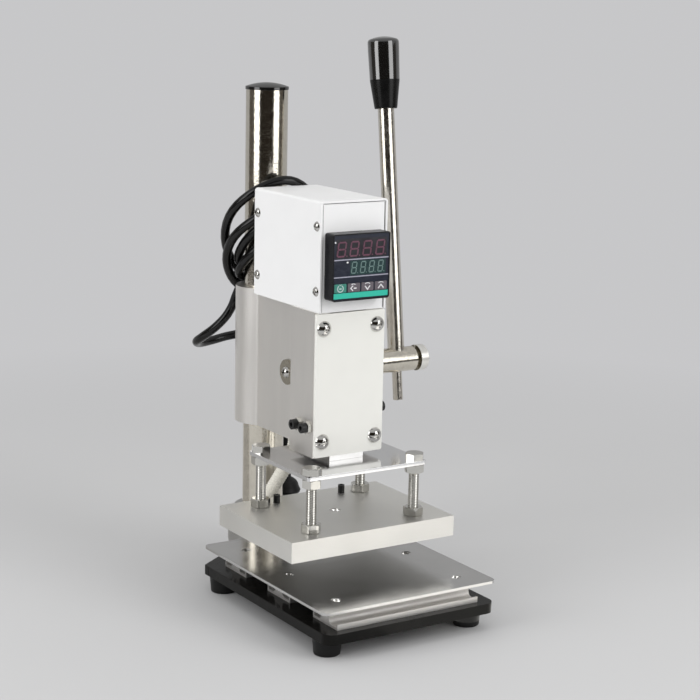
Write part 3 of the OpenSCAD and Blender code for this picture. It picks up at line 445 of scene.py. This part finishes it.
def loft(rings, closed=False):
    """Faces over rings of points of one length; the ends are capped, or joined to each other."""
    sides = len(rings[0])
    verts = [p for ring in rings for p in ring]
    pairs = list(zip(range(len(rings)), range(1, len(rings))))
    if closed:
        pairs.append((len(rings) - 1, 0))
    faces = []
    for i, j in pairs:
        for s in range(sides):
            n = (s + 1) % sides
            faces.append((i * sides + s, i * sides + n, j * sides + n, j * sides + s))
    if not closed:
        last = (len(rings) - 1) * sides
        faces += [tuple(range(sides - 1, -1, -1)), tuple(range(last, last + sides))]
    return verts, faces


def joined(shells):
    """One list of points and faces from several."""
    verts, faces = [], []
    for shell_verts, shell_faces in shells:
        faces += [tuple(v + len(verts) for v in face) for face in shell_faces]
        verts += shell_verts
    return verts, faces


# Mains lead: out of its gland, wound round the column above the head, then hanging to its plug
CORD_D = 7.0
CORD_ROUNDNESS = 5
COIL_IN, COIL_OUT, COIL_FAR = 20.4, 28.1, 36.4
COIL_TURNS = 4.125
COIL_STEPS = 40
COIL_LOW = HEAD_TOP + CORD_D / 2 + 0.9
LEAD_Z = COIL_LOW + 5
GLAND_END = 109.2
TAIL_ROUTE = [
    (16, 36, 8.5), (8.5, 39.5, 2), (1.5, 40, -6), (-4, 38.5, -14.5), (-9, 36, -22.5), (-14.5, 37, -31),
    (-21, 42.5, -40), (-26, 52, -48), (-26, 63, -54), (-18, 73, -58), (-4, 78.5, -58), (11, 78, -55.5),
    (24, 72, -53.5), (33, 61, -55), (36, 47, -61), (35.5, 34, -74), (34, 25, -92)]
PLUG_X, PLUG_Y = 33, COLUMN_Y + 21
RELIEF_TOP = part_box("mains_plug")[1].z / MM
TAIL_LEAD = 8
START_STEPS, TAIL_STEPS = 6, 8
LAST_BIT = 0.004

# Forms of the winding: a first value, then changes, each an amount and the turns between which it comes
COIL_RADIUS = (COIL_IN, (COIL_OUT - COIL_IN, 1.35, 1.95), (COIL_FAR - COIL_OUT, 3.7, 3.98))
COIL_SWELL = (2, (1.6, 2.6, 3.2))
COIL_SWOLLEN = (0, (1, 1.9, 2.3), (-1, 3.55, 3.75))
COIL_FOOT = (COIL_LOW, (9.5, 0.3, 1.2), (-9.5, 1.6, 2.1), (-14, 1.85, 2.25), (11.2, 2.25, 3.15))
COIL_RISE = (30, (11, 0.75, 1.75), (25, 1.8, 2.4), (16, 2.75, 3.35))
COIL_POWER = (1.4, (-0.4, 1.6, 2.2), (-0.2, 3.7, 4.1))
COIL_TWIST = (0, (18, 1.8, 2.25), (-18, 2.45, 2.8), (18, 2.85, 3.25), (-18, 3.45, 3.8))
COIL_SETTLED = (0, (1, 0, 0.16))


def form(changes, turns):
    """One form of the winding after so many turns: its first value and what the changes have added."""
    return changes[0] + sum(amount * ramp(a, b, turns) for amount, a, b in changes[1:])


def coil_at(t):
    """The lead's centre after t turns round the column, in the machine frame."""
    angle = math.radians(-90 - 360 * t)
    swell = form(COIL_SWELL, t) * form(COIL_SWOLLEN, t)
    radius = form(COIL_RADIUS, t) + swell * max(0, math.sin(angle)) ** 2
    twist = math.radians(form(COIL_TWIST, t))
    lean = form(COIL_RISE, t) * ((1 + math.cos(angle - twist)) / 2) ** form(COIL_POWER, t)
    settled = form(COIL_SETTLED, t)
    height = LEAD_Z * (1 - settled) + (form(COIL_FOOT, t) + lean) * settled
    return Vector((-radius * math.sin(angle), COLUMN_Y - radius * math.cos(angle), height))


def cord_line():
    """The lead's centre line in the machine frame, from inside its gland to inside the plug's relief."""
    start = [Vector((COIL_IN, GLAND_END + k * (COLUMN_Y - GLAND_END) / 2, LEAD_Z)) for k in (-1, 0, 1)]
    rings = round(COIL_TURNS * COIL_STEPS)
    coil = [coil_at(COIL_TURNS * k / rings) for k in range(1, rings + 1)]
    onward = (coil[-1] - coil_at(COIL_TURNS - LAST_BIT)).normalized()
    end = coil[-1] + onward * CORD_D
    tail = [Vector(p) + Vector((0, COLUMN_Y, HEAD_TOP)) for p in TAIL_ROUTE]
    drop = [Vector((PLUG_X, PLUG_Y, RELIEF_TOP + k * TAIL_LEAD)) for k in (1, 0, -1)]
    wound = through(start + coil[:2], START_STEPS)[:-1] + coil
    free = through([coil[-1], end, *tail, *drop], TAIL_STEPS)
    return wound + free


def make_cord():
    line = [at(*p) for p in cord_line()]
    curve = bpy.data.curves.new("mains_lead", "CURVE")
    curve.dimensions = "3D"
    curve.bevel_depth = CORD_D / 2 * MM
    curve.bevel_resolution = CORD_ROUNDNESS
    spline = curve.splines.new("POLY")
    spline.points.add(len(line) - 1)
    for point, place in zip(spline.points, line):
        point.co = (*place, 1)
    spline.use_smooth = True
    curve.materials.append(cord_black)
    lead = bpy.data.objects.new("mains_lead", curve)
    scene.collection.objects.link(lead)
    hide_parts("cord_hank", "cord_tail")
    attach(lead, "head")


make_cord()


# Heat resistant sleeve, ribbed, from the left cartridge up into the head
SLEEVE_D = 11.0
SLEEVE_RIB, SLEEVE_GROOVE = 2.0, 0.5
SLEEVE_SIDES, SLEEVE_STEPS = 24, 32
PLATE_MID = (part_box("heater_plate")[0].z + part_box("heater_plate")[1].z) / 2 / MM
HEAD_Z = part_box("head_body")[0].z / MM
SLEEVE_FROM = 66
SLEEVE_ROUTE = [
    (-28.6, SLEEVE_FROM - 10, PLATE_MID), (-28.6, SLEEVE_FROM, PLATE_MID),
    (-25.6, SLEEVE_FROM + 7.5, PLATE_MID + 2), (-18.6, SLEEVE_FROM + 9.5, PLATE_MID + 8.5),
    (-12.8, SLEEVE_FROM + 8, HEAD_Z - 36), (-6.4, SLEEVE_FROM + 5.5, HEAD_Z - 24),
    (-2.2, SLEEVE_FROM + 3, HEAD_Z - 11), (-1.5, SLEEVE_FROM + 2, HEAD_Z + 3),
    (-1.5, SLEEVE_FROM + 2, HEAD_Z + 8), (-1.5, SLEEVE_FROM + 2, HEAD_Z + 14)]


def ribbed_rings(line, radius, groove, rib, sides):
    """Rings along the points, their radius drawn in between ribs of that length."""
    rings = []
    side = Vector((1, 0, 0.1))
    run = 0.0
    for i, p in enumerate(line):
        along = (line[min(i + 1, len(line) - 1)] - line[max(i - 1, 0)]).normalized()
        side = (side - along * side.dot(along)).normalized()
        other = along.cross(side)
        run += (p - line[i - 1]).length if i else 0
        r = radius - groove * (0.5 + 0.5 * math.cos(2 * math.pi * run / rib))
        angles = [2 * math.pi * s / sides for s in range(sides)]
        rings.append([p + r * (math.cos(a) * side + math.sin(a) * other) for a in angles])
    return rings


def make_sleeve():
    line = [at(*p) for p in through([Vector(p) for p in SLEEVE_ROUTE], SLEEVE_STEPS)]
    rings = ribbed_rings(line, SLEEVE_D / 2 * MM, SLEEVE_GROOVE * MM, SLEEVE_RIB * MM, SLEEVE_SIDES)
    verts, faces = loft(rings)
    sleeve = smooth(piece("heater_sleeve_ribbed", verts, faces, sleeve_white, "sleeve_white"), 60)
    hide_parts("heater_sleeve")
    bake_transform(sleeve)


make_sleeve()


# Bolts with rolled threads, and chamfered nuts
BOLT_X, BOLT_Y = 44, (-25.5, 46.5)
BOLT_D, BOLT_FLATS = 8, 13
THREAD_PITCH, THREAD_DEPTH = 1.25, 0.36
HEX_SIDES = 48
HEX_BLUNT, HEX_FACE, HEX_CHAMFER = 0.985, 0.95, 30
NUT_H, NUT_BORE_R = 6.5, BOLT_D / 2 - 0.1
THREAD_SIDES, THREAD_STEPS, THREAD_END = 24, 6, 1
# Turn in degrees of each bolt's head, its lower nut and its upper nut
HEX_TURNS = ((8, 16, 25), (37, 74, 54), (22, 44, 39), (50, 100, 67))


def hex_radius(angle):
    """Distance from the axis to a hexagon's side, its corners slightly blunted."""
    a = (angle + math.pi / 6) % (math.pi / 3) - math.pi / 6
    return min(BOLT_FLATS / 2 / math.cos(a), BOLT_FLATS / math.sqrt(3) * HEX_BLUNT)


def hex_rings(x, y, low, high, turn, both, bore):
    """Rings of a hexagon between two heights, chamfered above or on both ends."""
    flat_r = BOLT_FLATS / 2 * HEX_FACE
    spin = math.radians(turn)
    angles = [2 * math.pi * s / HEX_SIDES for s in range(HEX_SIDES)]

    def ring(reach, height):
        points = []
        for a in angles:
            r = reach(a)
            points.append(at(x + r * math.cos(a + spin), y + r * math.sin(a + spin), height(a)))
        return points

    def drop(a):
        return (hex_radius(a) - flat_r) * math.tan(math.radians(HEX_CHAMFER))

    rings = []
    if bore:
        rings.append(ring(lambda a: bore, lambda a: low))
    if both:
        rings.append(ring(lambda a: flat_r, lambda a: low))
        rings.append(ring(hex_radius, lambda a: low + drop(a)))
    else:
        rings.append(ring(hex_radius, lambda a: low))
    rings.append(ring(hex_radius, lambda a: high - drop(a)))
    rings.append(ring(lambda a: flat_r, lambda a: high))
    if bore:
        rings.append(ring(lambda a: bore, lambda a: high))
    return rings


def thread_rings(x, y, low, high, cut_low, cut_high):
    """Rings of a shank, threaded between the two cut heights."""
    rings = []
    cut = cut_high - cut_low
    count = round(cut / THREAD_PITCH * THREAD_STEPS)
    heights = [low] + [cut_low + cut * k / count for k in range(count + 1)] + [high]
    for z in heights:
        starts = ramp(cut_low, cut_low + THREAD_END, z)
        depth = THREAD_DEPTH * starts * (1 - ramp(cut_high - THREAD_END, cut_high, z))
        ring = []
        for s in range(THREAD_SIDES):
            a = 2 * math.pi * s / THREAD_SIDES
            turn = (z / THREAD_PITCH - s / THREAD_SIDES) % 1
            r = BOLT_D / 2 - depth * (1 - abs(2 * turn - 1))
            ring.append(at(x + r * math.cos(a), y + r * math.sin(a), z))
        rings.append(ring)
    return rings


def make_bolts():
    low, high = (v.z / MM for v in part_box("hanger_bolts"))
    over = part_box("hanger_plate")[1].z / MM
    nut_low, nut_high = (v.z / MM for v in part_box("hanger_nuts"))
    spots = [(x, y) for x in (-BOLT_X, BOLT_X) for y in BOLT_Y]
    bolts, nuts = [], []
    for (x, y), (turn, low_turn, high_turn) in zip(spots, HEX_TURNS):
        bolts.append(loft(hex_rings(x, y, over, high, turn, False, 0)))
        bolts.append(loft(thread_rings(x, y, low, over, nut_low + THREAD_END, nut_high - THREAD_END)))
        for start, nut_turn in ((nut_low, low_turn), (nut_high - NUT_H, high_turn)):
            nuts.append(loft(hex_rings(x, y, start, start + NUT_H, nut_turn, True, NUT_BORE_R), True))
    for name, node, shells in (("hanger_bolts_threaded", "hanger_bolts", bolts),
                               ("hanger_nuts_chamfered", "hanger_nuts", nuts)):
        obj = smooth(piece(name, *joined(shells), zinc, slots[node]), 25)
        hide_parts(node)
        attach(obj, "ram")


make_bolts()


# Grip of the lever, turned with a straight taper that is duller than its barrel
LEVER_LEAN, LEVER_L = 6.9, 247.8
GRIP_L, GRIP_R, GRIP_EDGE, GRIP_CROWN = 54.6, 12.0, 3.0, 28.0
GRIP_SIDES = 64
GRIP_SHOULDER = GRIP_L - 4.6
# Outline from the lower end up, in shares of the radius and in heights
GRIP_TAPER = [(0.55, 0), (0.70, 0), (0.725, 0.4), (0.735, 1), (0.738, 1.3), (0.954, 21.8), (0.956, 22)]
GRIP_BARREL = [(0.957, 22.4), (0.998, 43), (1, 44)]
EDGE_STEPS, CROWN_STEPS, CROWN_REACH = 6, 8, 8.2


def make_grip():
    gear = [(v - ORIGIN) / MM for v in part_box("pinion_gear")]
    grip = [(v - ORIGIN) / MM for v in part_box("lever_grip")]
    shaft = Vector(((grip[0].x + grip[1].x) / 2, (gear[0].y + gear[1].y) / 2, (gear[0].z + gear[1].z) / 2))
    lean = math.radians(LEVER_LEAN)
    along = Vector((0, math.sin(lean), math.cos(lean)))
    other = Vector((0, -math.cos(lean), math.sin(lean)))
    side = Vector((1, 0, 0))
    profile = [(GRIP_R * r, z) for r, z in GRIP_TAPER + GRIP_BARREL] + [(GRIP_R, GRIP_SHOULDER)]
    for k in range(1, EDGE_STEPS + 1):
        a = math.radians(90 * k / EDGE_STEPS)
        profile.append((GRIP_R - GRIP_EDGE * (1 - math.cos(a)), GRIP_SHOULDER + GRIP_EDGE * math.sin(a)))
    for k in range(1, CROWN_STEPS + 1):
        r = (GRIP_R - GRIP_EDGE) * (1 - k / CROWN_REACH)
        profile.append((r, GRIP_L - GRIP_CROWN + math.sqrt(GRIP_CROWN ** 2 - r ** 2)))
    rings = []
    for r, z in profile:
        middle = shaft + along * (LEVER_L - GRIP_L + z)
        angles = [2 * math.pi * s / GRIP_SIDES for s in range(GRIP_SIDES)]
        rings.append([at(*(middle + r * (math.cos(a) * side + math.sin(a) * other))) for a in angles])
    obj = smooth(piece("lever_grip_turned", *loft(rings), grip_black, slots["lever_grip"]), 40)
    obj.data.materials.append(grip_dull)
    for face in obj.data.polygons[:GRIP_SIDES * (len(GRIP_TAPER) - 1)]:
        face.material_index = 1
    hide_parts("lever_grip")
    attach(obj, "lever")


make_grip()


# Screws with crossed domes, sunk or raised
HEAD_SIDES, DOME_RINGS = 48, 24
SCREW_SPREAD = 17
RIM_STEP = 0.02
CROSS_TURN, CROSS_STEP = 0.5, 0.9
# Shank, rise of the dome, whether the head is sunk, then the cross: half width, reach, depth and softness
SCREWS = {
    "worktable_screws": (4, 0.3, True, (0.8, 2.9, 1.5, 0.35)),
    "plate_screw": (5, 0.3, True, (0.9, 3.2, 1.6, 0.35)),
    "front_cover_screws": (5, 3.96, False, (0.5, 2.0, 0.8, 0.14)),
    "box_screws": (3, 2.07, False, (0.55, 2.3, 0.9, 0.14)),
}


def screw_groups(node):
    """The points, in the machine frame, of each separate screw of a node."""
    groups = []
    for vertex in nodes[node].data.vertices:
        p = (nodes[node].matrix_world @ vertex.co - ORIGIN) / MM
        near = [g for g in groups if (g[0] - p).length < SCREW_SPREAD]
        if near:
            near[0].append(p)
        else:
            groups.append([p])
    return groups


def crossed_screw(points, out, shank, rise, sunk, cross, turn):
    """A screw along out, in place of those points, whose head ends in a dome with a cross."""
    side = Vector((1, 0, 0)) if abs(out.z) > 0.5 else Vector((0, 0, 1))
    other = out.cross(side)

    def span(axis):
        values = [p.dot(axis) for p in points]
        return min(values), max(values)

    (low, top), (left, right), (near, far) = span(out), span(side), span(other)
    middle = side * (left + right) / 2 + other * (near + far) / 2
    reach = (right - left) / 2 - (rise if sunk else 0)
    rim = top - rise
    dome = (reach ** 2 + rise ** 2) / (2 * rise)
    half, end, depth, soft = cross

    def arm(u, v):
        return (1 - ramp(half - soft, half + soft, abs(u))) * (1 - ramp(end - soft, end + soft, abs(v)))

    def ring(r, height):
        circle = []
        for s in range(HEAD_SIDES):
            a = 2 * math.pi * s / HEAD_SIDES
            u, v = r * math.cos(a - turn), r * math.sin(a - turn)
            z = height
            if z is None:
                z = rim + math.sqrt(dome ** 2 - r ** 2) - dome + rise - depth * max(arm(u, v), arm(v, u))
            circle.append(at(*(middle + r * (math.cos(a) * side + math.sin(a) * other) + out * z)))
        return circle

    neck = rim - (reach - shank / 2) if sunk else rim
    edge = rim - RIM_STEP if sunk else rim
    rings = [ring(shank / 2, low), ring(shank / 2, neck), ring(reach - RIM_STEP, edge)]
    return loft(rings + [ring(reach * (1 - k / DOME_RINGS), None) for k in range(DOME_RINGS)])


def make_screws():
    up, front = Vector((0, 0, 1)), Vector((0, -1, 0))
    for node, (shank, rise, sunk, cross) in SCREWS.items():
        shells = []
        for k, points in enumerate(screw_groups(node)):
            out = up if sunk else front
            if node == "box_screws":
                out = Vector((1 if points[0].x > 0 else -1, 0, 0))
            turn = CROSS_TURN + CROSS_STEP * k
            shells.append(crossed_screw(points, out, shank, rise, sunk, cross, turn))
        obj = smooth(piece(node + "_crossed", *joined(shells), chrome, slots[node]), 40)
        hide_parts(node)
        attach(obj, nodes[node]["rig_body"])


make_screws()


# Painted shade: dark strips standing for the shadow in the gaps between the front panel of the box and the
# two edges of its cover
SEAM_FROM, SEAM_TO = 0.45, 1.0
SEAM_SUNK, SEAM_DEEP, SEAM_END = 0.05, 0.6, 0.5


def make_seam_shade():
    low, high = ((v - ORIGIN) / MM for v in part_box("box_chassis"))
    shells = []
    for edge, inward in ((low.x, 1), (high.x, -1)):
        near, far = edge + inward * SEAM_FROM, edge + inward * SEAM_TO
        outline = [(near, SEAM_SUNK), (far, SEAM_SUNK), (far, SEAM_DEEP), (near, SEAM_DEEP)]
        ends = (low.z + SEAM_END, high.z - SEAM_END)
        shells.append(loft([[at(x, low.y + y, z) for x, y in outline] for z in ends]))
    seam_shade_strips = piece("panel_seam_shade", *joined(shells), seam_shade_grey, slots["box_chassis"])
    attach(seam_shade_strips, nodes["box_chassis"]["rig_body"])


make_seam_shade()


# Markings of the panel controller, in millimetres right of and below its upper left corner
PANEL_LEFT = -24
PANEL_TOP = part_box("controller_bezel")[1].z / MM
FILM_FRONT = (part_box("controller_fascia")[0].y - ORIGIN.y) / MM
KEY_FRONT = (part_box("key_set")[0].y - ORIGIN.y) / MM
WINDOW_RAISED, MARK_RAISED, MARK_SUNK = 0.02, 0.05, 0.03
# Bars by left, top, right and bottom, discs by their middle and two radii
UPPER_WINDOW, LOWER_WINDOW = (2.6, 3.6, 45.2, 17.6), (14.6, 19.3, 44.6, 29.8)
PANEL_LINES = ((1.1, 18.0, 46.9, 18.8), (1.1, 30.4, 46.9, 31.15))
PANEL_LAMPS = ((1.9, 5.8, 0.75, 0.65), (12.3, 20.4, 0.9, 0.65))
PANEL_STRIP = (1.15, 42.15, 46.85, 46.1)
# Middles of the digits, their top, bottom, width, line and slant, and their points' offset, height and radius
UPPER_DIGITS = ((7.3, 17.9, 28.75, 39.6), (5.4, 16.5, 7.4, 1.15, 1.5), (4.3, 15.8, 0.5))
LOWER_DIGITS = ((17.9, 25.4, 32.7, 40.2), (20.1, 28.7, 4.5, 0.8, 1.1), (2.9, 28.2, 0.35))
SEGMENT_GAP = 0.1
# Line widths of the keys' marks, and the sharpest bend that a mitre follows
RING_LINE, ARROW_LINE, HINT_LINE = 0.75, 0.8, 0.5
MITRE_LEAST = 0.4


def mark(name, outlines, front, raised, material, slot, body):
    """Thin flat shapes that stand that far out of the panel or of a key."""
    verts, faces = [], []
    for outline in outlines:
        first, count = len(verts), len(outline)
        for depth in (front - raised, front + MARK_SUNK):
            verts += [at(PANEL_LEFT + x, depth, PANEL_TOP - y) for x, y in outline]
        faces.append(tuple(range(first, first + count)))
        faces.append(tuple(range(first + 2 * count - 1, first + count - 1, -1)))
        for k in range(count):
            n = (k + 1) % count
            faces.append((first + k, first + count + k, first + count + n, first + n))
    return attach(piece(name, verts, faces, material, slot), body)


def bar(x0, y0, x1, y1):
    return [(x0, y0), (x1, y0), (x1, y1), (x0, y1)]


def disc(x, y, rx, ry, sides=14):
    return [(x + rx * math.cos(2 * math.pi * k / sides), y + ry * math.sin(2 * math.pi * k / sides))
            for k in range(sides)]


def stroke(points, width):
    """Quads along a line of points, mitred where it bends."""
    points = [Vector(p) for p in points]
    sides = []
    for k, p in enumerate(points):
        ahead = points[k + 1] - p if k < len(points) - 1 else p - points[k - 1]
        behind = p - points[k - 1] if k else ahead
        normal = (ahead.normalized() + behind.normalized()).normalized().orthogonal()
        half = width / 2 / max(MITRE_LEAST, abs(normal.dot(behind.normalized().orthogonal())))
        sides.append((p + normal * half, p - normal * half))
    return [[tuple(a), tuple(c), tuple(d), tuple(b)] for (a, b), (c, d) in zip(sides, sides[1:])]


def arc(x, y, r, start, end, steps=12):
    angles = [math.radians(start + (end - start) * k / steps) for k in range(steps + 1)]
    return [(x + r * math.cos(a), y + r * math.sin(a)) for a in angles]


def digit(x, top, bottom, width, line, slant):
    """The seven segments of one digit, leaning to the right."""
    gap = SEGMENT_GAP
    middle = (top + bottom) / 2
    half = (width - line) / 2
    levels = (top + line / 2, middle, bottom - line / 2)

    def lean(points):
        return [(px + slant * (middle - py) / (bottom - top), py) for px, py in points]

    def across(y):
        a, b, t = x - half + gap, x + half - gap, line / 2
        return lean([(a, y), (a + t, y - t), (b - t, y - t), (b, y), (b - t, y + t), (a + t, y + t)])

    def upright(px, y0, y1):
        a, b, t = y0 + gap, y1 - gap, line / 2
        return lean([(px, a), (px + t, a + t), (px + t, b - t), (px, b), (px - t, b - t), (px - t, a + t)])

    shapes = [across(y) for y in levels]
    for px in (x - half, x + half):
        shapes += [upright(px, levels[0], levels[1]), upright(px, levels[1], levels[2])]
    return shapes


def digit_row(middles, shape, point):
    """A row of digits, each with its decimal point."""
    offset, height, radius = point
    segments = [s for x in middles for s in digit(x, *shape)]
    return segments + [disc(x + offset, height, radius, radius) for x in middles]


def key_marks():
    """The outlines of each key's mark about the key's middle, and their finish."""
    hint = stroke(arc(0, 0.6, 3.2, -130, -50), HINT_LINE)
    return {
        "key_set": (stroke(arc(0, 0.2, 2.35, -60, 240, 24), RING_LINE) + [bar(-1.0, -0.2, 1.0, 0.7)]
                    + stroke([(-0.9, -2.7), (0, -2.1), (0.9, -2.7)], HINT_LINE), mark_pale),
        "key_shift": (stroke([(-0.9, -1.3), (-2.7, 0.5), (-0.9, 2.3)], ARROW_LINE)
                      + [bar(-0.2, 0.1, 2.1, 0.95)]
                      + stroke(arc(-0.6, 0.4, 3.0, -125, -55), HINT_LINE), mark_white),
        "key_down": (stroke([(-2.1, -0.5), (0, 2.1), (2.1, -0.5)], ARROW_LINE) + hint, mark_white),
        "key_up": (stroke([(-2.3, 1.9), (0, -0.7), (2.3, 1.9)], ARROW_LINE) + hint, mark_white),
    }


def make_panel():
    def film_mark(name, outlines, raised, material):
        mark(name, outlines, FILM_FRONT, raised, material, "fascia_film", "head")

    film_mark("panel_window_upper", [bar(*UPPER_WINDOW)], WINDOW_RAISED, window_dark)
    film_mark("panel_window_lower", [bar(*LOWER_WINDOW)], WINDOW_RAISED, window_green)
    film_mark("panel_digits_upper", digit_row(*UPPER_DIGITS), MARK_RAISED, digit_red)
    film_mark("panel_digits_lower", digit_row(*LOWER_DIGITS), MARK_RAISED, digit_green)
    film_mark("panel_lines", [bar(*line) for line in PANEL_LINES], MARK_RAISED, line_grey)
    film_mark("panel_lamps", [disc(*lamp) for lamp in PANEL_LAMPS], MARK_RAISED, mark_white)
    film_mark("panel_strip", [bar(*PANEL_STRIP)], MARK_RAISED, strip_teal)
    for key, (shapes, material) in key_marks().items():
        low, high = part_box(key)
        x = ((low.x + high.x) / 2 - ORIGIN.x) / MM - PANEL_LEFT
        y = PANEL_TOP - (low.z + high.z) / 2 / MM
        outlines = [[(x + px, y + py) for px, py in outline] for outline in shapes]
        mark(key + "_mark", outlines, KEY_FRONT, MARK_RAISED, material, slots[key], nodes[key]["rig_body"])


make_panel()


# Floor, light and reflections, in metres and in degrees round the part
FLOOR_R, FLOOR_SIDES = 90, 96
FADE_FROM, FADE_TO = 0.4, 0.95
BACKDROP = (0.572, 0.572, 0.582)
SKY_LIGHT, SKY_MIRRORED = (0.26, 1.15), (0.36, 0.56)
CARD_STEPS = 16
DARK = (0.020, 0.016, 0.012)
DIM = (0.10, 0.09, 0.08)
BRIGHT = (1.45, 1.42, 1.36)
SHADED = (0.40, 0.395, 0.385)
LAMP_AWAY = 0.95
# Name, azimuths, heights, radiance and whether reflections show the lamp
LAMPS = (
    ("left_softbox", (-103, -75), (0.20, 0.95), 2.4, True),
    ("right_softbox", (9, 40), (0.20, 0.95), 2.0, True),
    ("left_soft_fill", (-103, -75), (0.05, 0.75), 2.4, False),
    ("right_soft_fill", (9, 40), (0.28, 1.05), 2.9, False),
)
WALL, APRON = (0.98, 0.98), (0.70, 0.98)
NEAR_FLOOR = (0.004, 0.004)
# Name, azimuths, distances, heights and glow of each card
CARDS = (
    ("front_flag", (-73, 7), WALL, (0.06, 0.75), DARK),
    ("left_flag", (-141, -105), WALL, (0.06, 0.60), DIM),
    ("right_flag", (43, 72), WALL, (0.06, 0.60), DIM),
    ("left_skirt", (-105, -73), WALL, (0.03, 0.19), DARK),
    ("right_skirt", (7, 43), WALL, (0.03, 0.19), DARK),
    ("left_apron", (-105, -73), APRON, NEAR_FLOOR, DARK),
    ("front_apron", (-73, 7), APRON, NEAR_FLOOR, DARK),
    ("right_apron", (7, 43), APRON, NEAR_FLOOR, DARK),
    ("bright_card", (-8, 34), (0.12, 0.47), NEAR_FLOOR, BRIGHT),
    ("shaded_card", (-172, -122), (0.12, 0.62), NEAR_FLOOR, SHADED),
)


def around(azimuth, distance, height):
    a = math.radians(azimuth)
    return Vector((math.sin(a) * distance, -math.cos(a) * distance, height))


def softbox(middle, name, azimuths, heights, radiance, mirrored):
    """An upright soft lamp between two azimuths and heights round the part."""
    width = 2 * LAMP_AWAY * math.tan(math.radians(azimuths[1] - azimuths[0]) / 2)
    height = heights[1] - heights[0]
    data = bpy.data.lights.new(name, "AREA")
    data.shape = "RECTANGLE"
    data.size, data.size_y = width, height
    data.energy = radiance * math.pi * width * height
    light = bpy.data.objects.new(name, data)
    scene.collection.objects.link(light)
    light.location = middle + around(sum(azimuths) / 2, LAMP_AWAY, sum(heights) / 2)
    light.rotation_euler = (math.radians(90), 0, math.radians(sum(azimuths) / 2))
    light.visible_camera = False
    light.visible_glossy = mirrored


def flag(middle, name, azimuths, distances, heights, shade):
    """A curved studio card between two distances and heights, seen in reflections only."""
    verts, faces = [], []
    for k in range(CARD_STEPS + 1):
        azimuth = azimuths[0] + (azimuths[1] - azimuths[0]) * k / CARD_STEPS
        for distance, height in zip(distances, heights):
            verts.append(middle + around(azimuth, distance, height))
    for k in range(CARD_STEPS):
        faces.append((2 * k, 2 * k + 2, 2 * k + 3, 2 * k + 1))
    mesh = bpy.data.meshes.new(name)
    mesh.from_pydata(verts, [], faces)
    material = bpy.data.materials.new(name)
    material.use_nodes = True
    tree = material.node_tree
    glow = tree.nodes.new("ShaderNodeEmission")
    glow.inputs["Color"].default_value = (*shade, 1)
    link(tree, glow.outputs[0], tree.nodes["Material Output"].inputs["Surface"])
    mesh.materials.append(material)
    card = bpy.data.objects.new(name, mesh)
    scene.collection.objects.link(card)
    card.visible_camera = card.visible_diffuse = card.visible_shadow = False


def backdrop(tree):
    """The far floor, seen straight on, turns into an evenly lit pale backdrop."""
    glow = tree.nodes.new("ShaderNodeEmission")
    glow.inputs["Color"].default_value = (*BACKDROP, 1)
    reach = tree.nodes.new("ShaderNodeVectorMath")
    reach.operation = "LENGTH"
    link(tree, tree.nodes.new("ShaderNodeTexCoord").outputs["Object"], reach.inputs[0])
    fade = tree.nodes.new("ShaderNodeMapRange")
    fade.inputs["From Min"].default_value = FADE_FROM
    fade.inputs["From Max"].default_value = FADE_TO
    link(tree, reach.outputs["Value"], fade.inputs["Value"])
    seen = tree.nodes.new("ShaderNodeLightPath").outputs["Is Camera Ray"]
    mixed = tree.nodes.new("ShaderNodeMixShader")
    link(tree, math_node(tree, "MULTIPLY", fade.outputs["Result"], seen), mixed.inputs["Fac"])
    link(tree, tree.nodes["Principled BSDF"].outputs[0], mixed.inputs[1])
    link(tree, glow.outputs[0], mixed.inputs[2])
    link(tree, mixed.outputs[0], tree.nodes["Material Output"].inputs["Surface"])


def make_floor():
    bm = bmesh.new()
    bmesh.ops.create_circle(bm, cap_ends=True, radius=FLOOR_R, segments=FLOOR_SIDES)
    mesh = bpy.data.meshes.new("floor")
    bm.to_mesh(mesh)
    bm.free()
    material = finish("floor_grey", (0.52, 0.52, 0.523), 0, 0.65, [layer(300, tint=0.01, gloss=0.02)],
                      Specular_IOR_Level=0.0)
    mesh.materials.append(material)
    backdrop(material.node_tree)
    floor = bpy.data.objects.new("floor", mesh)
    scene.collection.objects.link(floor)


def make_world():
    """Even light that grows towards the zenith, dimmer in reflections, and seen as the backdrop."""
    world = bpy.data.worlds.new("studio")
    scene.world = world
    world.use_nodes = True
    tree = world.node_tree
    sky = tree.nodes["Background"]
    sky.inputs["Color"].default_value = (1, 1, 1, 1)
    split = tree.nodes.new("ShaderNodeSeparateXYZ")
    link(tree, tree.nodes.new("ShaderNodeTexCoord").outputs["Generated"], split.inputs[0])
    strengths = []
    for low, high in (SKY_LIGHT, SKY_MIRRORED):
        rise = tree.nodes.new("ShaderNodeMapRange")
        rise.inputs["To Min"].default_value = low
        rise.inputs["To Max"].default_value = high
        link(tree, split.outputs["Z"], rise.inputs["Value"])
        strengths.append(rise.outputs["Result"])
    path = tree.nodes.new("ShaderNodeLightPath")
    pick = tree.nodes.new("ShaderNodeMix")
    link(tree, path.outputs["Is Glossy Ray"], pick.inputs["Factor"])
    link(tree, strengths[0], pick.inputs["A"])
    link(tree, strengths[1], pick.inputs["B"])
    seen = tree.nodes.new("ShaderNodeMix")
    link(tree, path.outputs["Is Camera Ray"], seen.inputs["Factor"])
    link(tree, pick.outputs["Result"], seen.inputs["A"])
    seen.inputs["B"].default_value = BACKDROP[0]
    link(tree, seen.outputs["Result"], sky.inputs["Strength"])


def make_stage():
    middle = (cad_low + cad_high) / 2
    middle.z = 0
    make_floor()
    make_world()
    for lamp in LAMPS:
        softbox(middle, *lamp)
    for card in CARDS:
        flag(middle, *card)


make_stage()
